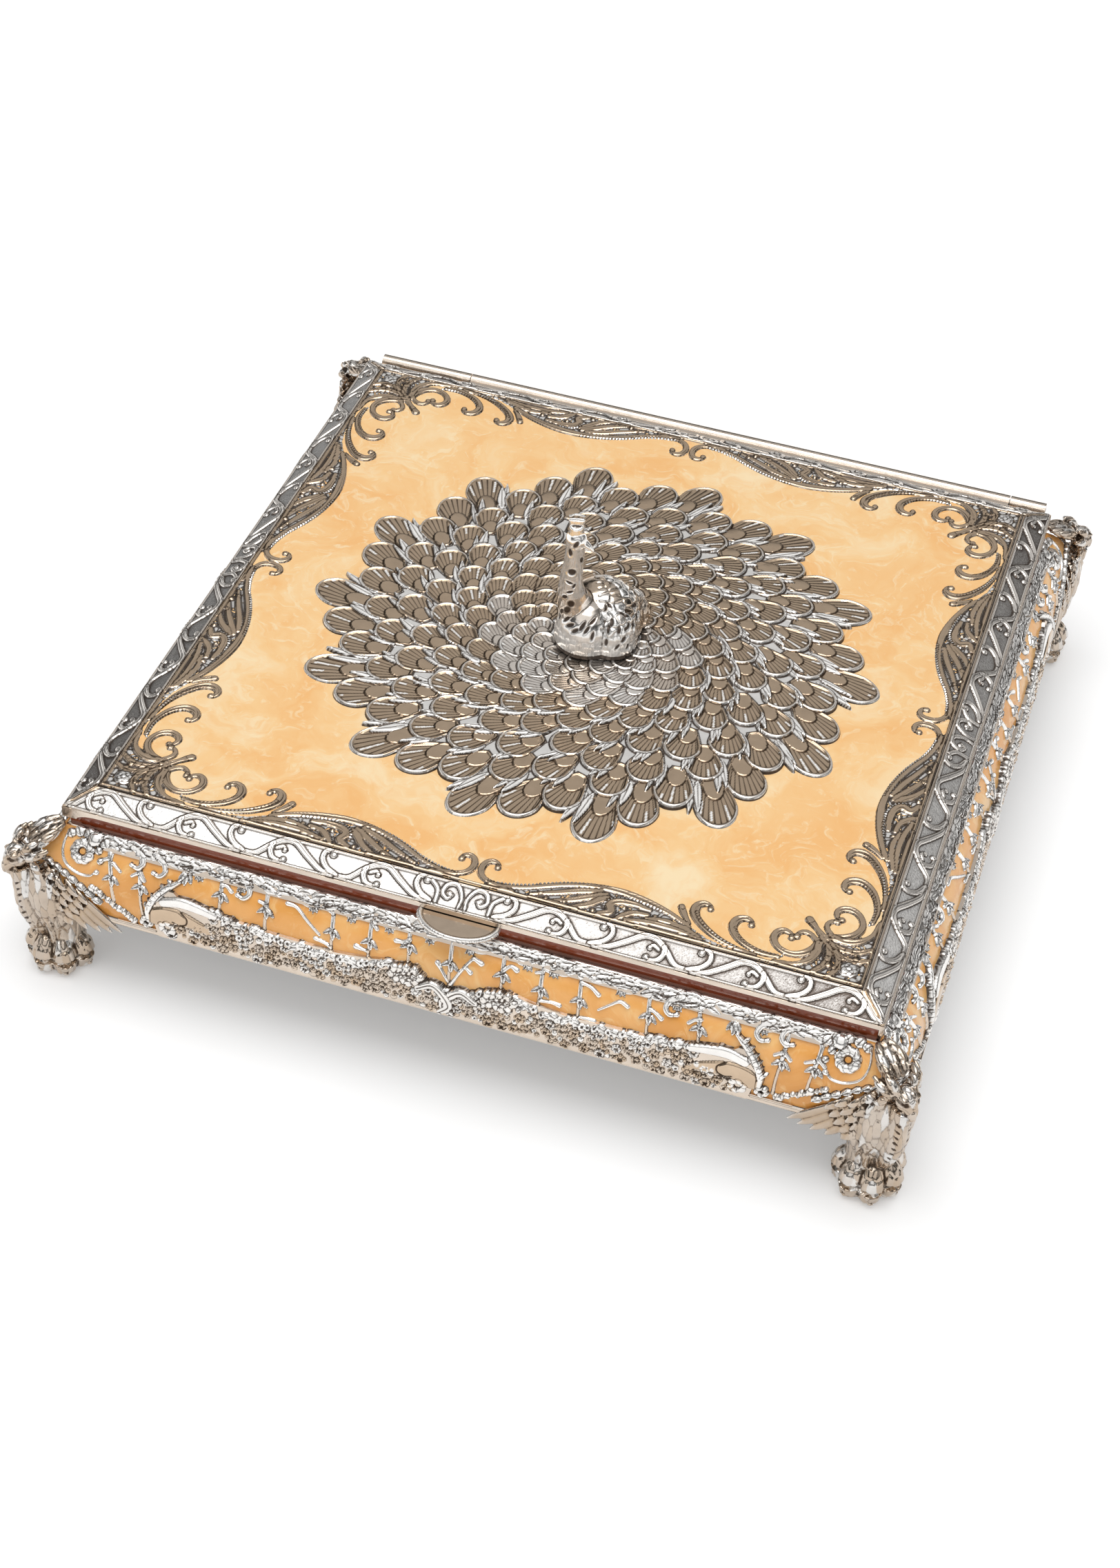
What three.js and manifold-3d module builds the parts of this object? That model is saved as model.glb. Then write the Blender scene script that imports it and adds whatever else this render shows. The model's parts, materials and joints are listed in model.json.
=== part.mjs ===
// A square footed metal box with a hinged lid, enamel panels, a feather medallion and a bird knob.
// Millimetres, +Z up. The front faces -Y, the hinge runs along +Y, and the origin is on the floor
// under the middle of the box.

import * as THREE from "three";
import { mergeVertices } from "three/addons/utils/BufferGeometryUtils.js";
import Module from "manifold-3d";

const wasm = await Module();
wasm.setup();

// Clearances
const FIT_GAP = 0.3; // between pieces that meet on a cut or fit inside one another
const BORE_GAP = 0.3; // all round a screw in its hole
const PIN_GAP = 0.1; // all round the hinge pin, which turns
const CUT_MARGIN = 1; // how far a cutting shape runs past the face that it opens
const CUT_REACH = 10; // the same for a shape that has to clear the raised work too
const CUT_BLOCK = 600; // side of a cutting block that is larger than the box

// Lid casting
const LID_HALF = 140;
const RIM_TOP = 70;
const RIM_THICKNESS = 1.7;
const SKIRT_DEPTH = 4.2;
const SKIRT_WALL = 1.5;
const LIP_WIDTH = 2.4;
const FRIEZE_RUN = 6.7;
const FRIEZE_RISE = 4.1;
const LEDGE_DROP = 1.8; // from the top of the frieze down to the ledge that carries the panel
const LEDGE_WIDTH = 6.9;
const LEDGE_THICKNESS = 2;
const UNDERCUT_FROM_SKIRT = 2; // flat stretch under the rim, inside the skirt
const UNDERCUT_RUN = 3.5;
const FRONT_PAD_LENGTH = 5; // full depth of skirt left at the front's left end
const FRONT_PAD_TAPER = 8;
const FRONT_PAD_STEPS = 5;

// Lid panel, enamel, border, medallion and backing
const PANEL_THICKNESS = 1.4;
const ENAMEL_THICKNESS = 0.8;
const BORDER_THICKNESS = 1.6; // at its scrolls
const BORDER_GROUND = 1; // thickness between its scrolls
const BORDER_INSET = 0.2; // border's outer edge inside the panel's
const BORDER_RAIL = 1.2; // width of the raised rail along its outer edge
const BACKING_THICKNESS = 1.6;
const MEDALLION_RADIUS = 103; // to the tips of the outermost feathers
const MEDALLION_EDGE = 0.5;
const MEDALLION_DOME = 4.9;
const MEDALLION_DISC_INSET = 19; // from the outermost tips in to the domed disc under the feathers
const MEDALLION_BOSS_INSET = 25; // the same to the boss that is let into the enamel
const MEDALLION_SEAT_RADIUS = 17;
const MEDALLION_SIDES = 28;
const DOME_STEPS = 4;
const FEATHERS_ROUND = 14;
const FEATHER_LIFT = 1; // height of a feather's tip over the dome
const FEATHER_ROOT_LIFT = 0.15;
const FEATHER_SUNK = 0.6; // depth of a feather's underside in the dome
const OUTER_FEATHER_RINGS = 3; // rings whose feathers reach down to the enamel
// Feather rings, outermost first: distance in from the outermost tips, half width, length, and in
// degrees the slant of the feathers from the radius and the ring's turn
const FEATHER_RINGS = [
  [0, 7.4, 25, 20, 3], [7, 7.1, 21, 23, 12.5], [13.5, 6.7, 19, 26, 21.3], [21.2, 6.4, 17, 32, 6],
  [26.7, 6.4, 17, 38, 15.8], [33.4, 6.4, 16.5, 44, 2.8], [46.8, 5.8, 15, 52, 4.2], [59, 5, 13.5, 60, 2],
  [71, 4.3, 11.5, 66, 1],
];
// Half a feather's outline: shares of its length from the tip and of its half width
const FEATHER_OUTLINE = [[0.02, 0.45], [0.4, 1], [1, 0.4]];

// Thumb tab under the middle of the front rim
const TAB_WIDTH = 28;
const TAB_REACH = 12.5;
const TAB_THICKNESS = 1.5;
const TAB_STEPS = 12;

// Body castings
const BODY_BELOW_RIM = 8; // from the lid's rim down to the body's top edge
const BODY_HEIGHT = 29;
const BODY_TOP_INSET = 1; // body's top edge inside the lid's
const BODY_FLARE = 11; // how far the lower edge stands out beyond the top edge
const BULGE_RISE = 22; // height over which the wall curves in to the top edge
const BULGE_STEPS = 6;
const BODY_WALL = 2.2;
const TOP_LEDGE_THICKNESS = 2;
const BOTTOM_LIP_WIDTH = 8;
const BOTTOM_LIP_THICKNESS = 2;
const POCKET_DEPTH = 1;
const POCKET_ABOVE_EDGE = 4; // pocket's lower edge above the body's
const POCKET_BELOW_TOP = 3.2;
const POCKET_FROM_MITRE = 4;
const SIDE_ENAMEL_THICKNESS = 0.7;
const BAND_PROUD = 1.4;
const RAIL_PROUD = 1;
const RAIL_FROM_CORNER = 15;
const MOULDING_PROUD = 1;
const MOULDING_HEIGHT = 2.5;
const MOULDING_FROM_CORNER = 33;
const RELIEF_ROOT = 0.5; // how deep the raised work is rooted in the wall

// Lower floral band's outline: distance from its middle, or back from its end, and height above the
// body's lower edge
const BAND_MIDDLE = [[0, 11.5], [8, 11.5], [14, 15], [21, 17], [28, 15.5], [40, 14.5]];
const BAND_END = [[38, 15], [18, 16.5], [11, 17], [7, 19.5], [2.5, 19.5], [0, 16], [0, 8], [2, 0]];
const BAND_FROM_CORNER = 46;

// Liner and bottom
const LINER_WALL = 3;
const LINER_FLOOR = 3;
const LINER_FROM_WALL = 13; // liner's outer face inside the body's top edge
const FLANGE_INSET = 0.4; // flange edge inside the lid's skirt
const BOTTOM_PLATE_THICKNESS = 1;

// Hinge along the back edge
const HINGE_BEHIND_LID = 5.5;
const HINGE_BELOW_RIM = 2.4;
const BARREL_RADIUS = 2.8;
const PIN_RADIUS = 1.2;
const KNUCKLE_LEFT_INSET = 4.7; // from the lid's corner
const KNUCKLE_LEFT_LENGTH = 37.7;
const KNUCKLE_RIGHT_INSET = 3;
const KNUCKLE_RIGHT_LENGTH = 14;
const KNUCKLE_GAP = 0.4;
const BARREL_SIDES = 20;
const WEB_THICKNESS = 3;
const ARM_FROM_END = 7; // arms stop short of the barrel's outer ends, clear of the feet
const ARM_ROOT = 2.6; // how far the arm is rooted inside the body's top edge

// Corner blocks and screws
const BLOCK_LEG = 22;
const BLOCK_HEIGHT = 13;
const BLOCK_ABOVE_EDGE = 4; // above the body's lower edge
const FOOT_SCREW_RADIUS = 2;
const FOOT_SCREW_DEPTH = 3.2; // how far it reaches into the foot
const FOOT_SCREW_HEAD_RADIUS = 3.8;
const FOOT_SCREW_HEAD_LENGTH = 2.6;
const KNOB_SCREW_RADIUS = 2.5;
const KNOB_SCREW_DEPTH = 9;
const KNOB_SCREW_HEAD_RADIUS = 4.5;
const KNOB_SCREW_HEAD_LENGTH = 1.2;
const KNOB_WASHER_RADIUS = 7;
const KNOB_WASHER_THICKNESS = 0.7;
const SCREW_SIDES = 16;

// Corner feet
const PAW_BACK = 9; // paw's middle behind the corner edge
const PAW_RADIUS = 8.4; // ring on which the toes lie
const PAW_HEIGHT = 11;
const TOE_ANGLES = [-100, -52, -17, 17, 52, 100];
const TOE_LONG = 5;
const TOE_WIDE = 3.5;
const TOE_SUNK = 0.7; // toes and heel are cut flat by the floor
const FOOT_SIDES = 10;
const FOOT_BANDS = 5;
const TOE_SIDES = 8;
const TOE_BANDS = 4;
const LEG_IN_BODY = 17; // how far the leg runs up past the body's lower edge
// Leg sections: share of its height, distance behind the corner edge, half depth, half width
const LEG_SECTIONS = [
  [0.1, 9, 8.2, 8.8], [0.24, 9.6, 6.4, 7], [0.32, 9.4, 5.8, 6.4], [0.44, 8.2, 6.6, 7.6],
  [0.56, 6.6, 8, 9.4], [0.68, 5, 9, 10.4], [0.8, 3, 8, 9.2], [0.92, 2, 6.4, 7], [1, 1.6, 4, 4.4],
];
// Head pieces: distance behind the corner edge, sideways, drop below the body's top, three radii
const HEAD_PARTS = [
  { back: 0.8, aside: 0, drop: 11, radii: [6.4, 5.8, 7.6] },
  { back: -4, aside: 0, drop: 14, radii: [3, 2.4, 3.4] },
  { back: 3.4, aside: 4.2, drop: 5, radii: [3.6, 2.2, 4.2] },
  { back: 3.4, aside: -4.2, drop: 5, radii: [3.6, 2.2, 4.2] },
];
// Leaf over the top corner: distance in front of the body's corner edge, drop below its top, half width
const LEAF_SECTIONS = [
  [1, 9, 4], [1.6, 6, 5.6], [1.4, 2.6, 6.4], [1, -0.6, 5], [0.4, -2.2, 2],
];
const LEAF_THICKNESS = 2.6;
// Wing outline on a side face: distance from the body's corner, height above its lower edge
const WING_OUTLINE = [
  [1.5, 14], [5, 15.5], [10, 13.5], [16, 10], [23, 5.5], [29.5, 0], [30.5, -3.5], [27, -5],
  [20, -4.5], [13, -7], [7, -9.5], [2.5, -10],
];
const WING_PROUD = 4.6;
const WING_ROOT = 3;

// Bird knob, standing on the medallion's seat and looking towards the front and left
const BIRD_TURN = THREE.MathUtils.degToRad(-24);
const BIRD_SEAT_RADIUS = 11;
const BIRD_SEAT_HEIGHT = 2.4;
const BIRD_SEAT_SIDES = 20;
const BIRD_SIDES = 14;
const BIRD_BANDS = 8;
// Rounded pieces: middle, three radii
const BIRD_PARTS = [
  { at: [0, -0.5, 12.2], radii: [13.8, 15.4, 13.6] },
  { at: [0, -10, 14.5], radii: [9, 8, 12] },
  { at: [0, 11.5, 9.5], radii: [9.4, 7.4, 7] },
];
const BIRD_HEAD = [0.8, -9.2, 47];
const BIRD_HEAD_RADII = [4.4, 3.4, 3.8];
// Neck sections: middle, radius
const NECK_SECTIONS = [
  { at: [0, -10.5, 20], radius: 6.6 },
  { at: [0, -12, 26], radius: 4.8 },
  { at: [0, -11.6, 32], radius: 3.8 },
  { at: [0, -10, 38], radius: 3.1 },
  { at: [0, -9, 43], radius: 2.9 },
  { at: BIRD_HEAD, radius: 2.7 },
];
const NECK_SIDES = 10;
const BEAK_SIDES = 5;
// Beak and crest, from the middle of the head
const BEAK_SECTIONS = [
  { ahead: 2.8, up: 0.2, half: 1.9 },
  { ahead: 5.6, up: -0.4, half: 1.1 },
  { ahead: 8, up: -1.4, half: 0.3 },
];
const CREST_OUTLINE = [[-2.2, 2], [-4, 9.6], [2.4, 9.6], [0.6, 2]];
const CREST_THICKNESS = 1.6;

// Border's inner edge along half a side: distance from the panel's corner and inwards from its edge,
// then distance from the side's middle and inwards
const BORDER_CORNER_EDGE = [
  [16, 16], [17.4, 13.4], [20, 8], [26, 6.4], [33.6, 4.8], [42, 3.6], [50.6, 5.2], [57.6, 8.2],
  [65.6, 11.2],
];
const BORDER_MIDDLE_EDGE = [
  [45, 14.3], [36, 13], [27, 9.8], [19, 5.8], [12, 3.6], [5, 3.2], [2.5, 5], [0, 7.6],
];
// Border's scrolls, from tip to root, with the half width as third number
const CORNER_SCROLLS = [
  [[54, 16.2, 1.1], [56.2, 18, 1.2], [58.9, 14.8, 1.7], [56.6, 9.8, 1.5], [46, 3.6, 1]],
  [[39.8, 14.1, 1.1], [42.2, 16.6, 1.2], [45.6, 13.2, 1.7], [43.6, 8, 1.5], [34.1, 3.4, 1]],
  [[26.4, 13.4, 1.1], [29, 16, 1.2], [32, 11.9, 1.5], [28.6, 7, 1.3], [22.4, 7.2, 1.5], [18, 13, 1.7],
    [15, 17, 1.4]],
  [[23.2, 23.2, 1.6], [20, 20, 1.1], [13, 13, 1.2]],
];
const MIDDLE_SCROLLS = [
  [[6.4, 9.8, 1.2], [4, 12.2, 1.2], [1.5, 8.6, 1.7], [3, 4.6, 1.4], [8, 2.6, 1]],
  [[44, 10, 1.2], [37, 6.6, 1.3], [27, 2.4, 0.9]],
];
// Raised edge of the border's swelling, from the corner's side and on to the middle's
const SWELL_FROM_CORNER = [[58.6, 6.4, 1], [65.6, 9.8, 1.2]];
const SWELL_FROM_MIDDLE = [
  [45, 13, 1.3], [36, 11.6, 1.1], [21, 5.6, 1], [10, 2.2, 0.9],
];
const CORNER_BOSS = [6.2, 3.3]; // distance in from the panel's edges, radius

// Finishes, from the photograph
const METAL = { color: 0xb9ac9c, roughness: 0.2, metalness: 1 };
const LID_ENAMEL = { color: 0xfacb90, roughness: 0.18, metalness: 0.05 };
const SIDE_ENAMEL = { color: 0xe8a960, roughness: 0.2, metalness: 0.05 };
const LACQUER = { color: 0x6d2a12, roughness: 0.25, metalness: 0 };
const STEEL = { color: 0x9b9893, roughness: 0.4, metalness: 0.9 };

// Heights and half widths that follow from the driving dimensions
const RIM_UNDERSIDE = RIM_TOP - RIM_THICKNESS;
const SKIRT_BOTTOM = RIM_TOP - SKIRT_DEPTH;
const SKIRT_INNER = LID_HALF - SKIRT_WALL;
const FRIEZE_INNER = LID_HALF - LIP_WIDTH - FRIEZE_RUN;
const FRIEZE_TOP = RIM_TOP + FRIEZE_RISE;
const LEDGE_TOP = FRIEZE_TOP - LEDGE_DROP;
const LEDGE_UNDERSIDE = LEDGE_TOP - LEDGE_THICKNESS;
const LEDGE_INNER = FRIEZE_INNER - LEDGE_WIDTH;
const UNDERCUT_OUTER = SKIRT_INNER - UNDERCUT_FROM_SKIRT;
const UNDERCUT_INNER = UNDERCUT_OUTER - UNDERCUT_RUN;
const PANEL_HALF = FRIEZE_INNER - FIT_GAP;
const PANEL_TOP = LEDGE_TOP + PANEL_THICKNESS;
const ENAMEL_TOP = PANEL_TOP + ENAMEL_THICKNESS;
const BORDER_HALF = PANEL_HALF - BORDER_INSET;
const BORDER_TOP = PANEL_TOP + BORDER_THICKNESS;
const SEAT_TOP = ENAMEL_TOP + MEDALLION_EDGE + MEDALLION_DOME;
const DISC_RADIUS = MEDALLION_RADIUS - MEDALLION_DISC_INSET;
const BOSS_RADIUS = MEDALLION_RADIUS - MEDALLION_BOSS_INSET;
const FLANGE_TOP = RIM_UNDERSIDE - FIT_GAP;
const FLANGE_HALF = SKIRT_INNER - FLANGE_INSET;
const BODY_TOP = RIM_TOP - BODY_BELOW_RIM;
const BODY_BOTTOM = BODY_TOP - BODY_HEIGHT;
const BODY_TOP_HALF = LID_HALF - BODY_TOP_INSET;
const BODY_BOTTOM_HALF = BODY_TOP_HALF + BODY_FLARE;
const BULGE_START = BODY_TOP - BULGE_RISE;
const BULGE_RADIUS = (BODY_FLARE ** 2 + BULGE_RISE ** 2) / (2 * BODY_FLARE);
const BULGE_MIDDLE = BODY_BOTTOM_HALF - BULGE_RADIUS;
const POCKET_BOTTOM = BODY_BOTTOM + POCKET_ABOVE_EDGE;
const POCKET_TOP = BODY_TOP - POCKET_BELOW_TOP;
const BAND_HALF_LENGTH = BODY_BOTTOM_HALF - BAND_FROM_CORNER;
const PLATE_BOTTOM = BODY_BOTTOM + BOTTOM_LIP_THICKNESS;
const PLATE_TOP = PLATE_BOTTOM + BOTTOM_PLATE_THICKNESS;
const LINER_BOTTOM = PLATE_TOP;
const LINER_HALF = BODY_TOP_HALF - LINER_FROM_WALL;
const BLOCK_BOTTOM = BODY_BOTTOM + BLOCK_ABOVE_EDGE;
const BLOCK_TOP = BLOCK_BOTTOM + BLOCK_HEIGHT;
const FOOT_SCREW_HEIGHT = (BLOCK_BOTTOM + BLOCK_TOP) / 2;
const CORNER_OUT = BODY_BOTTOM_HALF * Math.SQRT2; // body's lower corner edge, along the diagonal
const LEG_HEIGHT = BODY_BOTTOM + LEG_IN_BODY;
const HINGE_Y = LID_HALF + HINGE_BEHIND_LID;
const HINGE_Z = RIM_TOP - HINGE_BELOW_RIM;
const KNUCKLE_LEFT_START = -LID_HALF + KNUCKLE_LEFT_INSET;
const KNUCKLE_LEFT_END = KNUCKLE_LEFT_START + KNUCKLE_LEFT_LENGTH;
const KNUCKLE_RIGHT_END = LID_HALF - KNUCKLE_RIGHT_INSET;
const KNUCKLE_RIGHT_START = KNUCKLE_RIGHT_END - KNUCKLE_RIGHT_LENGTH;
const SIDE_TURNS = { front: 0, right: Math.PI / 2, back: Math.PI, left: -Math.PI / 2 };
const CORNER_TURNS = {
  front_left: -0.75 * Math.PI,
  front_right: -0.25 * Math.PI,
  back_right: 0.25 * Math.PI,
  back_left: 0.75 * Math.PI,
};

// A closed mesh with shared corners, as a solid that can be joined and cut
function solidOf(geometry) {
  const bare = geometry.clone();
  bare.deleteAttribute("normal");
  bare.deleteAttribute("uv");
  const merged = mergeVertices(bare);
  return new wasm.Manifold(new wasm.Mesh({
    numProp: 3,
    vertProperties: new Float32Array(merged.attributes.position.array),
    triVerts: new Uint32Array(merged.index.array),
  }));
}

function geometryOf(solid) {
  const mesh = solid.getMesh();
  const geometry = new THREE.BufferGeometry();
  geometry.setAttribute("position", new THREE.BufferAttribute(new Float32Array(mesh.vertProperties), 3));
  geometry.setIndex(new THREE.BufferAttribute(new Uint32Array(mesh.triVerts), 1));
  geometry.computeVertexNormals();
  return geometry;
}

function unite(solids) {
  return solids.reduce((whole, next) => whole.add(next));
}

function shapeOf(points) {
  return new THREE.Shape(points.map(([x, y]) => new THREE.Vector2(x, y)));
}

// A flat outline drawn in X and Y, thick from one height to another
function plate(outline, bottom, top) {
  const shape = outline instanceof THREE.Shape ? outline : shapeOf(outline);
  const settings = { depth: top - bottom, bevelEnabled: false };
  return solidOf(new THREE.ExtrudeGeometry(shape, settings).translate(0, 0, bottom));
}

// An outline drawn in X and Z, thick along Y
function wall(outline, front, back) {
  const settings = { depth: back - front, bevelEnabled: false };
  const geometry = new THREE.ExtrudeGeometry(shapeOf(outline), settings);
  return solidOf(geometry.rotateX(Math.PI / 2).translate(0, back, 0));
}

// An outline drawn in Y and Z, long along X
function bar(outline, start, end) {
  const settings = { depth: end - start, bevelEnabled: false };
  const geometry = new THREE.ExtrudeGeometry(shapeOf(outline), settings);
  return solidOf(geometry.rotateX(Math.PI / 2).rotateZ(Math.PI / 2).translate(start, 0, 0));
}

function block(width, depth, height, x, y, z) {
  return solidOf(new THREE.BoxGeometry(width, depth, height).translate(x, y, z));
}

function disc(radius, bottom, top, sides) {
  const geometry = new THREE.CylinderGeometry(radius, radius, top - bottom, sides);
  return solidOf(geometry.rotateX(Math.PI / 2).translate(0, 0, (bottom + top) / 2));
}

function rodAlongX(radius, start, end, sides, y, z) {
  const geometry = new THREE.CylinderGeometry(radius, radius, end - start, sides);
  return solidOf(geometry.rotateZ(Math.PI / 2).translate((start + end) / 2, y, z));
}

function roundPart(at, radii, sides, bands) {
  return solidOf(new THREE.SphereGeometry(1, sides, bands).scale(...radii).translate(...at));
}

// A profile of half widths and heights carried round a square, with mitred corners on the diagonals
function squareTurned(profile) {
  const points = profile.map(([half, height]) => new THREE.Vector2(half * Math.SQRT2, height));
  if (THREE.ShapeUtils.area(points) < 0) points.reverse();
  points.push(points[0].clone());
  const geometry = new THREE.LatheGeometry(points, 4, Math.PI / 4);
  return solidOf(geometry.rotateX(Math.PI / 2));
}

// A solid through a row of oval sections, each given by its middle and two half axes
function loft(sections, sides) {
  const positions = [];
  const indices = [];
  sections.forEach(({ middle, first, second }) => {
    for (let i = 0; i < sides; i++) {
      const turn = (2 * Math.PI * i) / sides;
      const point = middle.clone()
        .addScaledVector(first, Math.cos(turn))
        .addScaledVector(second, Math.sin(turn));
      positions.push(point.x, point.y, point.z);
    }
  });
  const last = (sections.length - 1) * sides;
  for (let ring = 0; ring < last; ring += sides) {
    for (let i = 0; i < sides; i++) {
      const next = (i + 1) % sides;
      indices.push(ring + i, ring + next, ring + sides + next);
      indices.push(ring + i, ring + sides + next, ring + sides + i);
    }
  }
  for (let i = 1; i < sides - 1; i++) {
    indices.push(0, i + 1, i, last, last + i, last + i + 1);
  }
  const geometry = new THREE.BufferGeometry();
  geometry.setAttribute("position", new THREE.Float32BufferAttribute(positions, 3));
  geometry.setIndex(indices);
  return solidOf(geometry);
}

// Half width of the body's outer face at a height, moved out by an offset
function bodyHalf(height, offset = 0) {
  if (height <= BULGE_START) return BODY_BOTTOM_HALF + offset;
  return BULGE_MIDDLE + Math.sqrt((BULGE_RADIUS + offset) ** 2 - (height - BULGE_START) ** 2);
}

// The body's face between two heights, as half widths and heights
function bodyFace(bottom, top, offset) {
  const points = bottom < BULGE_START ? [[bodyHalf(bottom, offset), bottom]] : [];
  const from = Math.max(bottom, BULGE_START);
  for (let i = 0; i <= BULGE_STEPS; i++) {
    const height = from + ((top - from) * i) / BULGE_STEPS;
    points.push([bodyHalf(height, offset), height]);
  }
  return points;
}

// A skin on the body's face, between two offsets and two heights
function bodySkin(inner, outer, bottom, top) {
  return squareTurned([...bodyFace(bottom, top, outer), ...bodyFace(bottom, top, inner).reverse()]);
}

// The body's full shape as one filled solid, grown by a clearance
function bodyFilled(offset) {
  const bottom = BODY_BOTTOM - Math.max(offset, 0);
  const top = BODY_TOP + Math.max(offset, 0);
  const face = bodyFace(BODY_BOTTOM, BODY_TOP, offset);
  return squareTurned([[0, bottom], [face[0][0], bottom], ...face, [face.at(-1)[0], top], [0, top]]);
}

// The quarter of the square that belongs to the front side, drawn in from its mitre planes
function frontQuarter(inset) {
  const reach = BODY_BOTTOM_HALF + CUT_REACH;
  const start = inset * Math.SQRT2;
  return plate([[0, -start], [-reach, -reach - start], [reach, -reach - start]], 0, RIM_TOP);
}

// The floral band's whole outline on a side, grown by a gap
function bandOutline(gap) {
  const stretch = 1 + gap / BAND_HALF_LENGTH;
  const ends = BAND_END.map(([back, up]) => [BAND_HALF_LENGTH - back, up]);
  const right = [...BAND_MIDDLE, ...ends].map(([x, up]) => [x * stretch, BODY_BOTTOM + up + gap]);
  const left = right.slice(1).map(([x, z]) => [-x, z]).reverse();
  return [...left, ...right];
}

function bandPrism(gap) {
  return wall(bandOutline(gap), -BODY_BOTTOM_HALF - CUT_REACH, -BODY_TOP_HALF + CUT_REACH);
}

// The walls' full ring: wall, ledge under the liner's flange, and lip under the bottom plate
function bodyRing() {
  const ledgeInner = LINER_HALF + FIT_GAP;
  const ledgeUnderside = BODY_TOP - TOP_LEDGE_THICKNESS;
  const inside = bodyFace(PLATE_BOTTOM, ledgeUnderside, -BODY_WALL).reverse();
  const lipInner = BODY_BOTTOM_HALF - BOTTOM_LIP_WIDTH;
  return squareTurned([
    ...bodyFace(BODY_BOTTOM, BODY_TOP, 0),
    [ledgeInner, BODY_TOP], [ledgeInner, ledgeUnderside],
    ...inside,
    [lipInner, PLATE_BOTTOM], [lipInner, BODY_BOTTOM],
  ]);
}

// A raised strip along the front face
function reliefOf(bottom, top, proud, halfLength) {
  const reach = BODY_BOTTOM_HALF + CUT_REACH;
  const span = block(2 * halfLength, reach, RIM_TOP, 0, -reach / 2 - CUT_MARGIN, RIM_TOP / 2);
  return bodySkin(-RELIEF_ROOT, proud, bottom, top).intersect(span);
}

// A hole along the diagonal for a foot's screw
function footScrewBore(turn) {
  const radius = FOOT_SCREW_RADIUS + BORE_GAP;
  const end = CORNER_OUT + FOOT_SCREW_DEPTH + BORE_GAP;
  return rodAlongX(radius, end / 2, end, SCREW_SIDES, 0, FOOT_SCREW_HEIGHT)
    .rotate([0, 0, THREE.MathUtils.radToDeg(turn)]);
}

// One side casting, shown at the front
function sideCasting() {
  const mouldingHalf = BODY_BOTTOM_HALF - MOULDING_FROM_CORNER;
  const pocket = bodySkin(-POCKET_DEPTH, BAND_PROUD + CUT_MARGIN, POCKET_BOTTOM, POCKET_TOP)
    .intersect(frontQuarter(POCKET_FROM_MITRE))
    .subtract(bandPrism(0));
  const band = bodySkin(-RELIEF_ROOT, BAND_PROUD, BODY_BOTTOM, BODY_TOP).intersect(bandPrism(0));
  return bodyRing()
    .intersect(frontQuarter(FIT_GAP / 2))
    .subtract(pocket)
    .add(band)
    .add(reliefOf(POCKET_TOP, BODY_TOP, RAIL_PROUD, BODY_TOP_HALF - RAIL_FROM_CORNER))
    .add(reliefOf(BODY_BOTTOM, BODY_BOTTOM + MOULDING_HEIGHT, MOULDING_PROUD, mouldingHalf))
    .subtract(footScrewBore(CORNER_TURNS.front_left))
    .subtract(footScrewBore(CORNER_TURNS.front_right));
}

// Knuckle and arm on the back casting, in the front casting's place before it is turned to the back
function bodyKnuckle(start, end, armStart, armEnd) {
  const reach = BARREL_RADIUS - FIT_GAP;
  const inside = -BODY_TOP_HALF + ARM_ROOT;
  const arm = bar([
    [-HINGE_Y - reach, HINGE_Z], [-bodyHalf(POCKET_TOP), POCKET_TOP], [inside, POCKET_TOP],
    [inside, BODY_TOP - FIT_GAP], [-BODY_TOP_HALF, BODY_TOP - FIT_GAP], [-HINGE_Y + reach, HINGE_Z],
  ], armStart, armEnd);
  const barrel = rodAlongX(BARREL_RADIUS, start, end, BARREL_SIDES, -HINGE_Y, HINGE_Z);
  return arm.intersect(frontQuarter(FIT_GAP / 2)).add(barrel);
}

function pinBore() {
  return rodAlongX(PIN_RADIUS + PIN_GAP, -LID_HALF, LID_HALF, BARREL_SIDES, HINGE_Y, HINGE_Z);
}

function backCasting() {
  const halfTurn = [0, 0, 180];
  const leftInner = -KNUCKLE_LEFT_END + KNUCKLE_GAP / 2;
  const leftOuter = -KNUCKLE_LEFT_START;
  const rightInner = -KNUCKLE_RIGHT_START - KNUCKLE_GAP / 2;
  const rightOuter = -KNUCKLE_RIGHT_END;
  return sideCasting()
    .add(bodyKnuckle(leftInner, leftOuter, leftInner, leftOuter - ARM_FROM_END))
    .add(bodyKnuckle(rightOuter, rightInner, rightOuter + ARM_FROM_END, rightInner))
    .subtract(pinBore().rotate(halfTurn));
}

function sideEnamel() {
  return bodySkin(-SIDE_ENAMEL_THICKNESS, 0, POCKET_BOTTOM + FIT_GAP, POCKET_TOP - FIT_GAP)
    .intersect(frontQuarter(POCKET_FROM_MITRE + FIT_GAP))
    .subtract(bandPrism(FIT_GAP));
}

function bottomPlate() {
  const side = 2 * (BODY_BOTTOM_HALF - BODY_WALL - FIT_GAP);
  return block(side, side, BOTTOM_PLATE_THICKNESS, 0, 0, (PLATE_BOTTOM + PLATE_TOP) / 2);
}

function linerTray() {
  return squareTurned([
    [0, LINER_BOTTOM], [LINER_HALF, LINER_BOTTOM], [LINER_HALF, BODY_TOP], [FLANGE_HALF, BODY_TOP],
    [FLANGE_HALF, FLANGE_TOP], [LINER_HALF - LINER_WALL, FLANGE_TOP],
    [LINER_HALF - LINER_WALL, LINER_BOTTOM + LINER_FLOOR], [0, LINER_BOTTOM + LINER_FLOOR],
  ]);
}

// Where a corner block's inner face lies along the diagonal
const BLOCK_CORNER = bodyHalf(BLOCK_TOP, -BODY_WALL);
const BLOCK_FACE = (2 * BLOCK_CORNER - BLOCK_LEG) / Math.SQRT2;

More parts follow.
